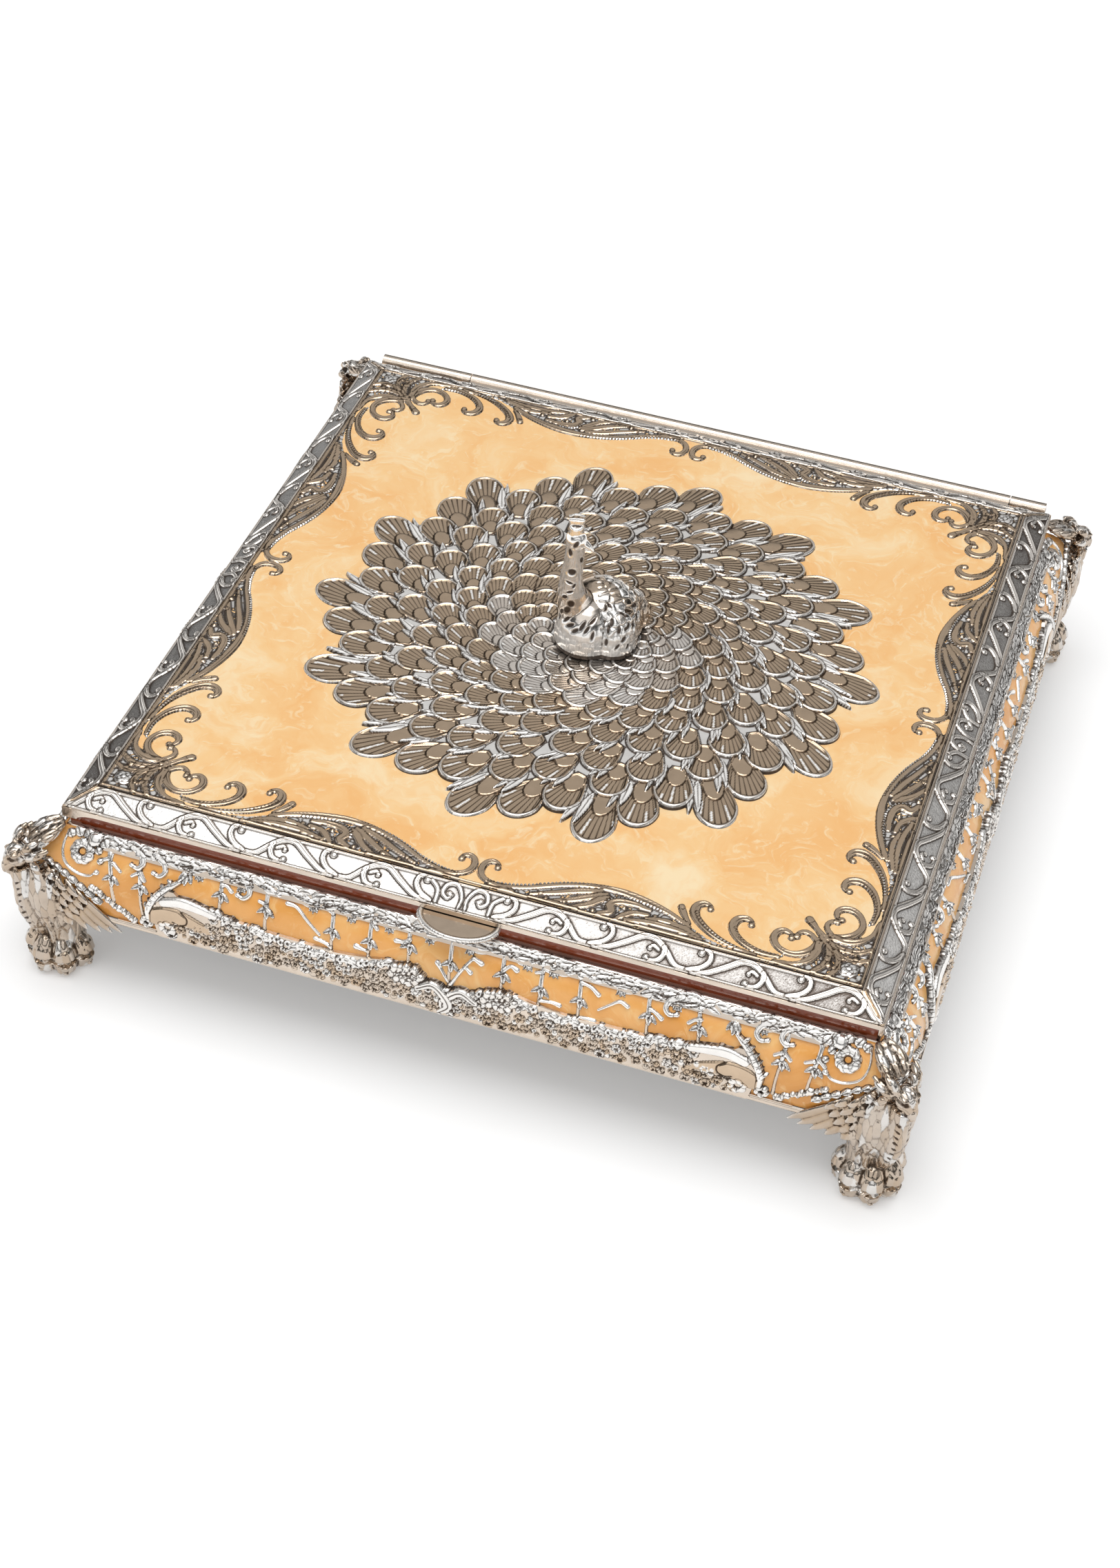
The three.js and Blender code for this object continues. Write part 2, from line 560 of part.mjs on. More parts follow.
// A corner block between the walls, shown with its corner along +X
function cornerBlock() {
  const tip = BLOCK_CORNER * Math.SQRT2 + CUT_REACH;
  const run = tip - BLOCK_FACE;
  const inner = bodyFilled(-BODY_WALL - FIT_GAP).rotate([0, 0, 45]);
  return plate([[BLOCK_FACE, -run], [tip, 0], [BLOCK_FACE, run]], BLOCK_BOTTOM, BLOCK_TOP)
    .intersect(inner)
    .subtract(footScrewBore(0));
}

function footScrew() {
  const face = BLOCK_FACE - FIT_GAP;
  const end = CORNER_OUT + FOOT_SCREW_DEPTH;
  const back = face - FOOT_SCREW_HEAD_LENGTH;
  return rodAlongX(FOOT_SCREW_RADIUS, face, end, SCREW_SIDES, 0, FOOT_SCREW_HEIGHT)
    .add(rodAlongX(FOOT_SCREW_HEAD_RADIUS, back, face, SCREW_SIDES, 0, FOOT_SCREW_HEIGHT));
}

function toe(degrees) {
  const turn = THREE.MathUtils.degToRad(degrees);
  const geometry = new THREE.SphereGeometry(1, TOE_SIDES, TOE_BANDS)
    .rotateX(Math.PI / 2)
    .scale(TOE_LONG, TOE_WIDE, PAW_HEIGHT / 2)
    .rotateZ(turn)
    .translate(
      CORNER_OUT - PAW_BACK + PAW_RADIUS * Math.cos(turn),
      PAW_RADIUS * Math.sin(turn),
      PAW_HEIGHT / 2 - TOE_SUNK,
    );
  return solidOf(geometry);
}

function legAndPaw() {
  const across = new THREE.Vector3(0, 1, 0);
  const along = new THREE.Vector3(1, 0, 0);
  const leg = loft(LEG_SECTIONS.map(([share, back, deep, wide]) => ({
    middle: new THREE.Vector3(CORNER_OUT - back, 0, share * LEG_HEIGHT),
    first: along.clone().multiplyScalar(deep),
    second: across.clone().multiplyScalar(wide),
  })), FOOT_SIDES);
  const middle = [CORNER_OUT - PAW_BACK, 0, PAW_HEIGHT / 2 - TOE_SUNK];
  const heel = roundPart(middle, [PAW_RADIUS, PAW_RADIUS, PAW_HEIGHT / 2], FOOT_SIDES, FOOT_BANDS);
  return unite([leg, heel, ...TOE_ANGLES.map(toe)]);
}

function headParts() {
  return HEAD_PARTS.map(({ back, aside, drop, radii }) => (
    roundPart([CORNER_OUT - back, aside, BODY_TOP - drop], radii, FOOT_SIDES, FOOT_BANDS)
  ));
}

// The leaf that lies over the body's upper corner edge
function cornerLeaf() {
  return loft(LEAF_SECTIONS.map(([front, drop, wide]) => {
    const height = BODY_TOP - drop;
    const edge = bodyHalf(Math.min(height, BODY_TOP)) * Math.SQRT2;
    return {
      middle: new THREE.Vector3(edge + front, 0, height),
      first: new THREE.Vector3(LEAF_THICKNESS / 2, 0, LEAF_THICKNESS / 2),
      second: new THREE.Vector3(0, wide, 0),
    };
  }), TOE_SIDES);
}

// A wing along each side face, drawn on the front face and turned to the corner's own frame
function wings() {
  const face = -BODY_BOTTOM_HALF;
  const outline = WING_OUTLINE.map(([along, up]) => [BODY_BOTTOM_HALF - along, BODY_BOTTOM + up]).reverse();
  const onFront = wall(outline, face - WING_PROUD, face + WING_ROOT);
  const right = onFront.rotate([0, 0, 45]);
  return [right, right.mirror([0, 1, 0])];
}

// One foot, shown with the body's corner along +X
function cornerFoot() {
  const floor = block(CUT_BLOCK, CUT_BLOCK, CUT_BLOCK, 0, 0, -CUT_BLOCK / 2);
  return unite([legAndPaw(), ...headParts(), cornerLeaf(), ...wings()])
    .subtract(bodyFilled(FIT_GAP).rotate([0, 0, 45]))
    .subtract(floor)
    .subtract(footScrewBore(0));
}

function hingePin() {
  const start = KNUCKLE_LEFT_START + FIT_GAP;
  const end = KNUCKLE_RIGHT_END - FIT_GAP;
  return rodAlongX(PIN_RADIUS, start, end, BARREL_SIDES, HINGE_Y, HINGE_Z);
}

// What is cut from the front skirt: from a curved pad at the left to the right side's skirt
function frontSkirtCut() {
  const low = SKIRT_BOTTOM - CUT_MARGIN;
  const padEnd = -LID_HALF + FRONT_PAD_LENGTH;
  const points = [[SKIRT_INNER, low], [SKIRT_INNER, RIM_UNDERSIDE]];
  for (let i = 0; i <= FRONT_PAD_STEPS; i++) {
    const turn = (Math.PI / 2) * (i / FRONT_PAD_STEPS);
    points.push([
      padEnd + FRONT_PAD_TAPER * (1 - Math.sin(turn)),
      SKIRT_BOTTOM + (RIM_UNDERSIDE - SKIRT_BOTTOM) * Math.cos(turn),
    ]);
  }
  points.push([padEnd, low]);
  return wall(points, -LID_HALF - CUT_MARGIN, -SKIRT_INNER + CUT_MARGIN);
}

function lidKnuckle() {
  const start = KNUCKLE_LEFT_END + KNUCKLE_GAP / 2;
  const end = KNUCKLE_RIGHT_START - KNUCKLE_GAP / 2;
  const front = LID_HALF - SKIRT_WALL / 2;
  const depth = HINGE_Y - front;
  const web = block(end - start, depth, WEB_THICKNESS, (start + end) / 2, front + depth / 2, HINGE_Z);
  return rodAlongX(BARREL_RADIUS, start, end, BARREL_SIDES, HINGE_Y, HINGE_Z).add(web);
}

function lidFrame() {
  return squareTurned([
    [LID_HALF, SKIRT_BOTTOM], [LID_HALF, RIM_TOP], [LID_HALF - LIP_WIDTH, RIM_TOP],
    [FRIEZE_INNER, FRIEZE_TOP], [FRIEZE_INNER, LEDGE_TOP], [LEDGE_INNER, LEDGE_TOP],
    [LEDGE_INNER, LEDGE_UNDERSIDE], [UNDERCUT_INNER, LEDGE_UNDERSIDE], [UNDERCUT_OUTER, RIM_UNDERSIDE],
    [SKIRT_INNER, RIM_UNDERSIDE], [SKIRT_INNER, SKIRT_BOTTOM],
  ])
    .subtract(frontSkirtCut())
    .add(lidKnuckle())
    .subtract(pinBore());
}

function knobBore(top) {
  return disc(KNOB_SCREW_RADIUS + BORE_GAP, LEDGE_UNDERSIDE - CUT_MARGIN, top, SCREW_SIDES);
}

function lidPanel() {
  const side = 2 * PANEL_HALF;
  return block(side, side, PANEL_THICKNESS, 0, 0, (LEDGE_TOP + PANEL_TOP) / 2)
    .subtract(knobBore(PANEL_TOP + CUT_MARGIN));
}

function fromCorner([along, inwards, half]) {
  return [along - PANEL_HALF, inwards - PANEL_HALF, half];
}

function fromMiddle([aside, inwards, half]) {
  return [-aside, inwards - PANEL_HALF, half];
}

// The border's whole inner edge, going round the panel, moved inwards by a gap
function borderEdge(gap) {
  const [corner, ...rest] = [...BORDER_CORNER_EDGE.map(fromCorner), ...BORDER_MIDDLE_EDGE.map(fromMiddle)];
  const half = rest.map(([x, y]) => [x, y + gap]);
  const mirrored = half.slice(0, -1).map(([x, y]) => [-x, y]).reverse();
  const side = [[corner[0] + gap, corner[1] + gap], ...half, ...mirrored];
  return Object.values(SIDE_TURNS).flatMap((turn) => side.map(([x, y]) => [
    x * Math.cos(turn) - y * Math.sin(turn),
    x * Math.sin(turn) + y * Math.cos(turn),
  ]));
}

// Outline of a ribbon through points with half widths, grown all round by a gap
function ribbonOutline(points, gap) {
  const left = [];
  const right = [];
  points.forEach(([x, y, half], i) => {
    const [fromX, fromY] = points[Math.max(i - 1, 0)];
    const [toX, toY] = points[Math.min(i + 1, points.length - 1)];
    const length = Math.hypot(toX - fromX, toY - fromY);
    const alongX = (toX - fromX) / length;
    const alongY = (toY - fromY) / length;
    const ends = i === 0 ? -gap : i === points.length - 1 ? gap : 0;
    const wide = half + gap;
    left.push([x + ends * alongX - wide * alongY, y + ends * alongY + wide * alongX]);
    right.push([x + ends * alongX + wide * alongY, y + ends * alongY - wide * alongX]);
  });
  return [...left, ...right.reverse()];
}

// The border's scrolls between two heights, grown by a gap
function borderScrolls(gap, bottom, top) {
  const swell = [...SWELL_FROM_CORNER.map(fromCorner), ...SWELL_FROM_MIDDLE.map(fromMiddle)];
  const paths = [
    ...CORNER_SCROLLS.map((path) => path.map(fromCorner)),
    ...MIDDLE_SCROLLS.map((path) => path.map(fromMiddle)),
    swell,
  ];
  const half = unite(paths.map((path) => plate(ribbonOutline(path, gap), bottom, top)));
  const side = half.add(half.mirror([1, 0, 0]));
  return unite([0, 90, 180, 270].map((turn) => side.rotate([0, 0, turn])));
}

function squarePlate(half, bottom, top) {
  return block(2 * half, 2 * half, top - bottom, 0, 0, (bottom + top) / 2);
}

function cornerBosses() {
  const [inset, radius] = CORNER_BOSS;
  const boss = disc(radius, PANEL_TOP + BORDER_GROUND / 2, BORDER_TOP, SCREW_SIDES)
    .translate([PANEL_HALF - inset, PANEL_HALF - inset, 0]);
  return unite([0, 90, 180, 270].map((turn) => boss.rotate([0, 0, turn])));
}

function lidBorder() {
  const low = PANEL_TOP + BORDER_GROUND / 2;
  const opening = plate(borderEdge(0), PANEL_TOP - CUT_MARGIN, BORDER_TOP + CUT_MARGIN);
  const rail = squarePlate(BORDER_HALF, low, BORDER_TOP)
    .subtract(squarePlate(BORDER_HALF - BORDER_RAIL, low - CUT_MARGIN, BORDER_TOP + CUT_MARGIN));
  return squarePlate(BORDER_HALF, PANEL_TOP, PANEL_TOP + BORDER_GROUND)
    .subtract(opening)
    .add(rail)
    .add(cornerBosses())
    .add(borderScrolls(0, PANEL_TOP, BORDER_TOP));
}

function lidEnamel() {
  const bottom = PANEL_TOP - CUT_MARGIN;
  const top = ENAMEL_TOP + CUT_MARGIN;
  return plate(borderEdge(FIT_GAP), PANEL_TOP, ENAMEL_TOP)
    .subtract(disc(BOSS_RADIUS + FIT_GAP, bottom, top, MEDALLION_SIDES))
    .subtract(borderScrolls(FIT_GAP, bottom, top));
}

// Height of the dome under the feathers at a distance from the middle
function domeHeight(radius) {
  const share = Math.min(radius / MEDALLION_RADIUS, 1);
  return SEAT_TOP - MEDALLION_DOME * share ** 2;
}

// One feather with its tip at a place along +X, and its underside at a height or in the dome
function feather([inset, halfWidth, length, slant], underside) {
  const lean = THREE.MathUtils.degToRad(slant);
  const mirrored = FEATHER_OUTLINE.map(([along, aside]) => [along, -aside]).reverse();
  const outline = [...FEATHER_OUTLINE, ...mirrored];
  const positions = [];
  [true, false].forEach((isTop) => outline.forEach(([along, aside]) => {
    const run = along * length;
    const width = aside * halfWidth;
    const x = MEDALLION_RADIUS - inset - run * Math.cos(lean) - width * Math.sin(lean);
    const y = run * Math.sin(lean) - width * Math.cos(lean);
    const dome = domeHeight(Math.hypot(x, y));
    const lift = FEATHER_ROOT_LIFT + (FEATHER_LIFT - FEATHER_ROOT_LIFT) * (1 - along);
    positions.push(x, y, isTop ? dome + lift : underside ?? dome - FEATHER_SUNK);
  }));
  return cappedPiece(positions, outline.length);
}

// A solid between two outlines with as many points, the upper one first, going round clockwise
function cappedPiece(positions, count) {
  const indices = [];
  for (let i = 0; i < count; i++) {
    const next = (i + 1) % count;
    indices.push(i, next, count + i, next, count + next, count + i);
    if (i > 0 && next > 0) indices.push(0, next, i, count, count + i, count + next);
  }
  const geometry = new THREE.BufferGeometry();
  geometry.setAttribute("position", new THREE.Float32BufferAttribute(positions, 3));
  geometry.setIndex(indices);
  return solidOf(geometry);
}

function medallionDisc() {
  const profile = [[0, ENAMEL_TOP], [DISC_RADIUS, ENAMEL_TOP]];
  for (let i = DOME_STEPS; i > 0; i--) {
    const radius = MEDALLION_SEAT_RADIUS + ((DISC_RADIUS - MEDALLION_SEAT_RADIUS) * i) / DOME_STEPS;
    profile.push([radius, domeHeight(radius)]);
  }
  profile.push([MEDALLION_SEAT_RADIUS, SEAT_TOP], [0, SEAT_TOP]);
  const points = profile.map(([radius, height]) => new THREE.Vector2(radius, height));
  return solidOf(new THREE.LatheGeometry(points, MEDALLION_SIDES).rotateX(Math.PI / 2));
}

function medallion() {
  const feathers = FEATHER_RINGS
    .filter(([inset]) => MEDALLION_RADIUS - inset > MEDALLION_SEAT_RADIUS)
    .flatMap((ring, i) => {
      const one = feather(ring, i < OUTER_FEATHER_RINGS ? ENAMEL_TOP : undefined);
      return Array.from({ length: FEATHERS_ROUND }, (_, k) => (
        one.rotate([0, 0, ring.at(-1) + (360 * k) / FEATHERS_ROUND])
      ));
    });
  const seat = disc(MEDALLION_SEAT_RADIUS, SEAT_TOP, SEAT_TOP + CUT_REACH, MEDALLION_SIDES);
  return unite([medallionDisc(), ...feathers])
    .subtract(seat)
    .add(disc(BOSS_RADIUS, PANEL_TOP, ENAMEL_TOP + MEDALLION_EDGE, MEDALLION_SIDES))
    .subtract(knobBore(SEAT_TOP + CUT_MARGIN));
}

function knobWasher() {
  return disc(KNOB_WASHER_RADIUS, LEDGE_TOP - KNOB_WASHER_THICKNESS, LEDGE_TOP, SCREW_SIDES)
    .subtract(knobBore(LEDGE_TOP + CUT_MARGIN));
}

function knobScrew() {
  const face = LEDGE_TOP - KNOB_WASHER_THICKNESS;
  const low = face - KNOB_SCREW_HEAD_LENGTH;
  return disc(KNOB_SCREW_HEAD_RADIUS, low, face, SCREW_SIDES)
    .add(disc(KNOB_SCREW_RADIUS, low, SEAT_TOP + KNOB_SCREW_DEPTH, SCREW_SIDES));
}

// The backing board under the panel, with room for the knob's screw
function lidBacking() {
  const side = 2 * (UNDERCUT_INNER - FIT_GAP);
  const top = LEDGE_UNDERSIDE - FIT_GAP;
  return block(side, side, BACKING_THICKNESS, 0, 0, top - BACKING_THICKNESS / 2);
}

// The half-moon plate under the front rim that a thumb lifts
function thumbTab() {
  const root = -SKIRT_INNER - FIT_GAP / 2;
  const front = -LID_HALF;
  const points = [[-TAB_WIDTH / 2, root], [-TAB_WIDTH / 2, front]];
  for (let i = 1; i < TAB_STEPS; i++) {
    const turn = Math.PI * (1 - i / TAB_STEPS);
    points.push([(TAB_WIDTH / 2) * Math.cos(turn), front - TAB_REACH * Math.sin(turn)]);
  }
  points.push([TAB_WIDTH / 2, front], [TAB_WIDTH / 2, root]);
  return plate(points, RIM_UNDERSIDE - TAB_THICKNESS, RIM_UNDERSIDE);
}

function neckAndBeak() {
  const east = new THREE.Vector3(1, 0, 0);
  const north = new THREE.Vector3(0, 1, 0);
  const up = new THREE.Vector3(0, 0, 1);
  const neck = loft(NECK_SECTIONS.map(({ at, radius }) => ({
    middle: new THREE.Vector3(...at),
    first: east.clone().multiplyScalar(radius),
    second: north.clone().multiplyScalar(radius),
  })), NECK_SIDES);
  const beak = loft(BEAK_SECTIONS.map(({ ahead, up: rise, half }) => ({
    middle: new THREE.Vector3(...BIRD_HEAD).add(new THREE.Vector3(ahead, 0, rise)),
    first: north.clone().multiplyScalar(half),
    second: up.clone().multiplyScalar(half),
  })), BEAK_SIDES);
  return [neck, beak];
}

function birdKnob() {
  const [headX, headY, headZ] = BIRD_HEAD;
  const crestOutline = CREST_OUTLINE.map(([x, up]) => [headX + x, headZ + up]);
  const crestFront = headY - CREST_THICKNESS / 2;
  const crest = wall(crestOutline, crestFront, crestFront + CREST_THICKNESS);
  const below = block(CUT_BLOCK, CUT_BLOCK, CUT_BLOCK, 0, 0, -CUT_BLOCK / 2);
  const bore = disc(KNOB_SCREW_RADIUS + BORE_GAP, -CUT_MARGIN, KNOB_SCREW_DEPTH + BORE_GAP, SCREW_SIDES);
  return unite([
    disc(BIRD_SEAT_RADIUS, 0, BIRD_SEAT_HEIGHT, BIRD_SEAT_SIDES),
    ...BIRD_PARTS.map(({ at, radii }) => roundPart(at, radii, BIRD_SIDES, BIRD_BANDS)),
    roundPart(BIRD_HEAD, BIRD_HEAD_RADII, BIRD_SIDES, BIRD_BANDS),
    ...neckAndBeak(),
    crest,
  ])
    .subtract(below)
    .subtract(bore);
}

const box = new THREE.Group();

function place(name, solid, finish, turn = 0, height = 0) {
  const mesh = new THREE.Mesh(geometryOf(solid), new THREE.MeshStandardMaterial(finish));
  mesh.name = name;
  mesh.rotation.z = turn;
  mesh.position.z = height;
  box.add(mesh);
}

const plainSide = sideCasting();
Object.entries(SIDE_TURNS).forEach(([side, turn]) => {
  place(`side_${side}`, side === "back" ? backCasting() : plainSide, METAL, turn);
  place(`side_enamel_${side}`, sideEnamel(), SIDE_ENAMEL, turn);
});
Object.entries(CORNER_TURNS).forEach(([corner, turn]) => {
  place(`foot_${corner}`, cornerFoot(), METAL, turn);
  place(`corner_block_${corner}`, cornerBlock(), STEEL, turn);
  place(`foot_screw_${corner}`, footScrew(), STEEL, turn);
});
place("bottom_plate", bottomPlate(), STEEL);
place("liner_tray", linerTray(), LACQUER);
place("hinge_pin", hingePin(), STEEL);
place("lid_frame", lidFrame(), METAL);
place("lid_panel", lidPanel(), METAL);
place("lid_enamel", lidEnamel(), LID_ENAMEL);
place("lid_border", lidBorder(), METAL);
place("medallion", medallion(), METAL);
place("knob_washer", knobWasher(), STEEL);
place("knob_screw", knobScrew(), STEEL);
place("lid_backing", lidBacking(), LACQUER);
place("thumb_tab", thumbTab(), METAL);
place("bird_knob", birdKnob(), METAL, BIRD_TURN, SEAT_TOP);

export default box;
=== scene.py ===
"""Looks for a square footed metal box with a hinged lid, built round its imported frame."""

import json
import math

import bpy
import numpy as np
from mathutils import Matrix, Vector


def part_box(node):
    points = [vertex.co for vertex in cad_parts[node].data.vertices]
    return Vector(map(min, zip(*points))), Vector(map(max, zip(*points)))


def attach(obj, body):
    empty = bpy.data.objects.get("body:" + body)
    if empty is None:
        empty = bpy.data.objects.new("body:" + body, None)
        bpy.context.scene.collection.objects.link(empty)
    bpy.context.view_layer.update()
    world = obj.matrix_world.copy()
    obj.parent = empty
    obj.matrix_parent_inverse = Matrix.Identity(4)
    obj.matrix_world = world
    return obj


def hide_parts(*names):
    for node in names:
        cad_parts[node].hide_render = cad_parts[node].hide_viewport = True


bl_info = {
    "name": "Square metal box",
    "version": (1, 0, 0),
    "blender": (4, 5, 0),
    "location": "View3D > Sidebar > Metal box",
    "description": "Ornament, enamel and finishes of a square footed metal box",
    "category": "Object",
}

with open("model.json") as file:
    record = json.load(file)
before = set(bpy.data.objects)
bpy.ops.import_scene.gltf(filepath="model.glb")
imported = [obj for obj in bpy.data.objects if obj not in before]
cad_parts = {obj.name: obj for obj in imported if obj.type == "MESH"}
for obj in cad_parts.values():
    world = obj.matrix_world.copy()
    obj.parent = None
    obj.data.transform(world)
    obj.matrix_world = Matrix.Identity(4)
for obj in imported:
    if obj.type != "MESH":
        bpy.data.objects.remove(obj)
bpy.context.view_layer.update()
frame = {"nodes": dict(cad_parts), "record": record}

MM = 0.001

# Turn of each side and corner about the upright axis
SIDES = {"front": 0.0, "right": 0.5 * math.pi, "back": math.pi, "left": -0.5 * math.pi}
CORNERS = {
    "front_left": -0.75 * math.pi,
    "front_right": -0.25 * math.pi,
    "back_right": 0.25 * math.pi,
    "back_left": 0.75 * math.pi,
}

# Millimetres, as in the solids
BODY_BOTTOM = 33.0
BODY_LOW_HALF = 150.0
BULGE_START = 40.0
BULGE_RADIUS = 27.5
BULGE_MIDDLE = 122.5
BODY_ARC_TOP = 32.5
ENAMEL_TOP = 74.5
FIELD_HALF = 130.5
FRIEZE_OUTER = 139.7
FRIEZE_RUN = 8.8
FRIEZE_RISE = 4.1
FRIEZE_BASE = 70.0
FRIEZE_SLOPE = math.hypot(FRIEZE_RUN, FRIEZE_RISE)
MEDALLION_PEAK = 79.9
MEDALLION_DOME = 4.9
MEDALLION_REACH = 103.0
LID_HALF = 140.0
TAB_HALF = 14.0
TAB_REACH = 9.5
TAB_ROOT = 3.0
TAB_RISE = 0.4
CORNER_OUT = BODY_LOW_HALF * math.sqrt(2)


# Millimetre height maps


def smooth_path(points, spacing):
    """Points on one smooth curve through control points, any number of values each."""
    knots = np.array(points, float)
    ends = np.vstack([2 * knots[0] - knots[1], knots, 2 * knots[-1] - knots[-2]])
    pieces = []
    for a, b, c, d in zip(ends, ends[1:], ends[2:], ends[3:]):
        count = max(2, int(np.hypot(*(c - b)[:2]) / spacing))
        t = np.linspace(0, 1, count, endpoint=False)[:, None]
        pieces.append(
            0.5 * (2 * b + (c - a) * t + (2 * a - 5 * b + 4 * c - d) * t**2 + (3 * b - a - 3 * c + d) * t**3)
        )
    pieces.append(knots[-1:])
    return np.vstack(pieces)


def even_points(points, spacing):
    """Points at even distances along the smooth curve through control points."""
    path = smooth_path(points, spacing / 8)
    run = np.concatenate([[0], np.cumsum(np.hypot(*np.diff(path[:, :2], axis=0).T))])
    at = np.linspace(0, run[-1], max(2, int(round(run[-1] / spacing)) + 1))
    return np.stack([np.interp(at, run, path[:, i]) for i in range(path.shape[1])], 1)


def blurred(values, cells):
    """The mean of each value's square neighbourhood."""
    for axis in (0, 1):
        at = np.clip(np.arange(-cells - 1, values.shape[axis] + cells), 0, values.shape[axis] - 1)
        padded = np.take(values, at, axis)
        total = np.cumsum(padded, axis)
        width = 2 * cells + 1
        high = np.take(total, np.arange(width, total.shape[axis]), axis)
        low = np.take(total, np.arange(0, total.shape[axis] - width), axis)
        values = (high - low) / width
    return values


# Cross-sections of a stroke, by distance from its middle as a share of its half width
CROWNS = {
    "round": lambda share: np.sqrt(1 - share**2),
    "flat": lambda share: np.sqrt(1 - share**6),
    "gutter": lambda share: np.sqrt(1 - share**4) - 0.45 * np.exp(-((share / 0.34) ** 2)),
}


class Relief:
    """A height map in millimetres, drawn with strokes, beads, leaves and fields.

    Each point also has a warmth of its plating, whose low and negative values are painted highlight white,
    and a line value, which is painted shade along a crease.
    """

    def __init__(self, low, high, step, floor=-0.6):
        self.u = np.arange(low[0], high[0] + step / 2, step)
        self.v = np.arange(low[1], high[1] + step / 2, step)
        self.step = step
        self.floor = floor
        self.height = np.full((len(self.v), len(self.u)), float(floor))
        self.warm = np.zeros_like(self.height)
        self.line = np.zeros_like(self.height)

    def near(self, points, reach):
        """The part of the map round some points: its index, and its u and v."""
        low = np.min(points, 0)[:2] - reach
        high = np.max(points, 0)[:2] + reach
        i0, i1 = np.searchsorted(self.u, (low[0], high[0]))
        j0, j1 = np.searchsorted(self.v, (low[1], high[1]))
        return (slice(j0, j1), slice(i0, i1)), *np.meshgrid(self.u[i0:i1], self.v[j0:j1])

    def lift(self, window, height, depth, warm):
        """Takes the higher of what is there and height, which falls away steeply outside."""
        height = height + np.minimum(depth, 0) * 3.5
        taller = height > self.height[window]
        # Painted shade: a dark ring round the foot of each raised part.
        crease = 0.85 * np.exp(-(((depth + 0.2) / 0.2) ** 2)) * (depth < 0.05)
        self.height[window] = np.where(taller, height, self.height[window])
        self.warm[window] = np.where(taller & (depth > -0.1), warm, self.warm[window])
        self.line[window] = np.where(taller & (depth > 0.05), 0, np.maximum(self.line[window], crease))

    def stroke(self, points, rise, base, crown="round", warm=1.0):
        """A tapering ridge through points (u, v, half width)."""
        path = smooth_path(points, self.step * 0.7)
        window, u, v = self.near(path, path[:, 2].max() + 0.6)
        if u.size == 0:
            return
        gap = np.hypot(u[..., None] - path[:, 0], v[..., None] - path[:, 1]) - path[:, 2]
        nearest = gap.argmin(-1)
        depth = -np.take_along_axis(gap, nearest[..., None], -1)[..., 0]
        share = np.clip(1 - depth / path[nearest, 2], 0, 1)
        thin = np.minimum(1, path[nearest, 2] / path[:, 2].max() + 0.25)
        self.lift(window, base + rise * thin * CROWNS[crown](share), depth, warm)

    def dent(self, u0, v0, radius, depth):
        """A hollow, darkened with painted shade."""
        window, u, v = self.near([(u0, v0)], radius * 2)
        share = np.exp(-((np.hypot(u - u0, v - v0) / radius) ** 4))
        self.height[window] -= depth * share
        self.line[window] = np.maximum(self.line[window], share)

    def groove(self, points, half, depth):
        """A cut along a path, darkened with painted shade."""
        path = smooth_path(points, self.step * 0.7)
        window, u, v = self.near(path, half * 2.5)
        if u.size == 0:
            return
        gap = np.hypot(u[..., None] - path[:, 0], v[..., None] - path[:, 1]).min(-1)
        share = np.exp(-((gap / half) ** 2))
        self.height[window] -= depth * share
        self.line[window] = np.maximum(self.line[window], 0.9 * share)

    def bead(self, u0, v0, radius, rise, base, warm=1.0):
        """A round bead."""
        window, u, v = self.near([(u0, v0)], radius + 0.6)
        depth = radius - np.hypot(u - u0, v - v0)
        share = np.clip(1 - depth / radius, 0, 1)
        self.lift(window, base + rise * CROWNS["round"](share), depth, warm)

    def beads(self, points, radius, spacing, rise, base, warm):
        """An even row of beads along a path."""
        for u0, v0 in even_points([p[:2] for p in points], spacing):
            self.bead(u0, v0, radius, rise, base, warm)

    def leaf(self, start, end, width, rise, base, ribs, warm):
        """A pointed leaf with a midrib and slanting side ribs, darkened with painted shade."""
        a, b = np.array(start, float), np.array(end, float)
        length = np.hypot(*(b - a))
        along = (b - a) / length
        window, u, v = self.near([a, b], width + 0.6)
        if u.size == 0:
            return
        t = ((u - a[0]) * along[0] + (v - a[1]) * along[1]) / length
        s = (v - a[1]) * along[0] - (u - a[0]) * along[1]
        half = width * np.sin(np.pi * np.clip(t, 0, 1) ** 0.75) ** 0.8
        depth = np.where((t > 0) & (t < 1), half - np.abs(s), -np.maximum(-t, t - 1) * length - np.abs(s))
        share = np.clip(np.abs(s) / np.maximum(half, 0.05), 0, 1)
        rib = np.cos(2 * np.pi * (ribs * t + np.abs(s) / width * 0.9))
        middle = np.exp(-((s / 0.3) ** 2)) * (t > 0.08) * (t < 0.86)
        height = base + rise * (np.sqrt(1 - share**2) * (0.8 + 0.14 * rib) - 0.3 * middle)
        top = height > self.height[window]
        self.lift(window, height, depth, warm)
        # Painted shade along the midrib and between the ribs.
        cut = np.maximum(0.75 * middle, 0.6 * np.clip(-rib - 0.35, 0, 1) * (share > 0.25))
        self.line[window] = np.where(top & (depth > 0.1), cut, self.line[window])

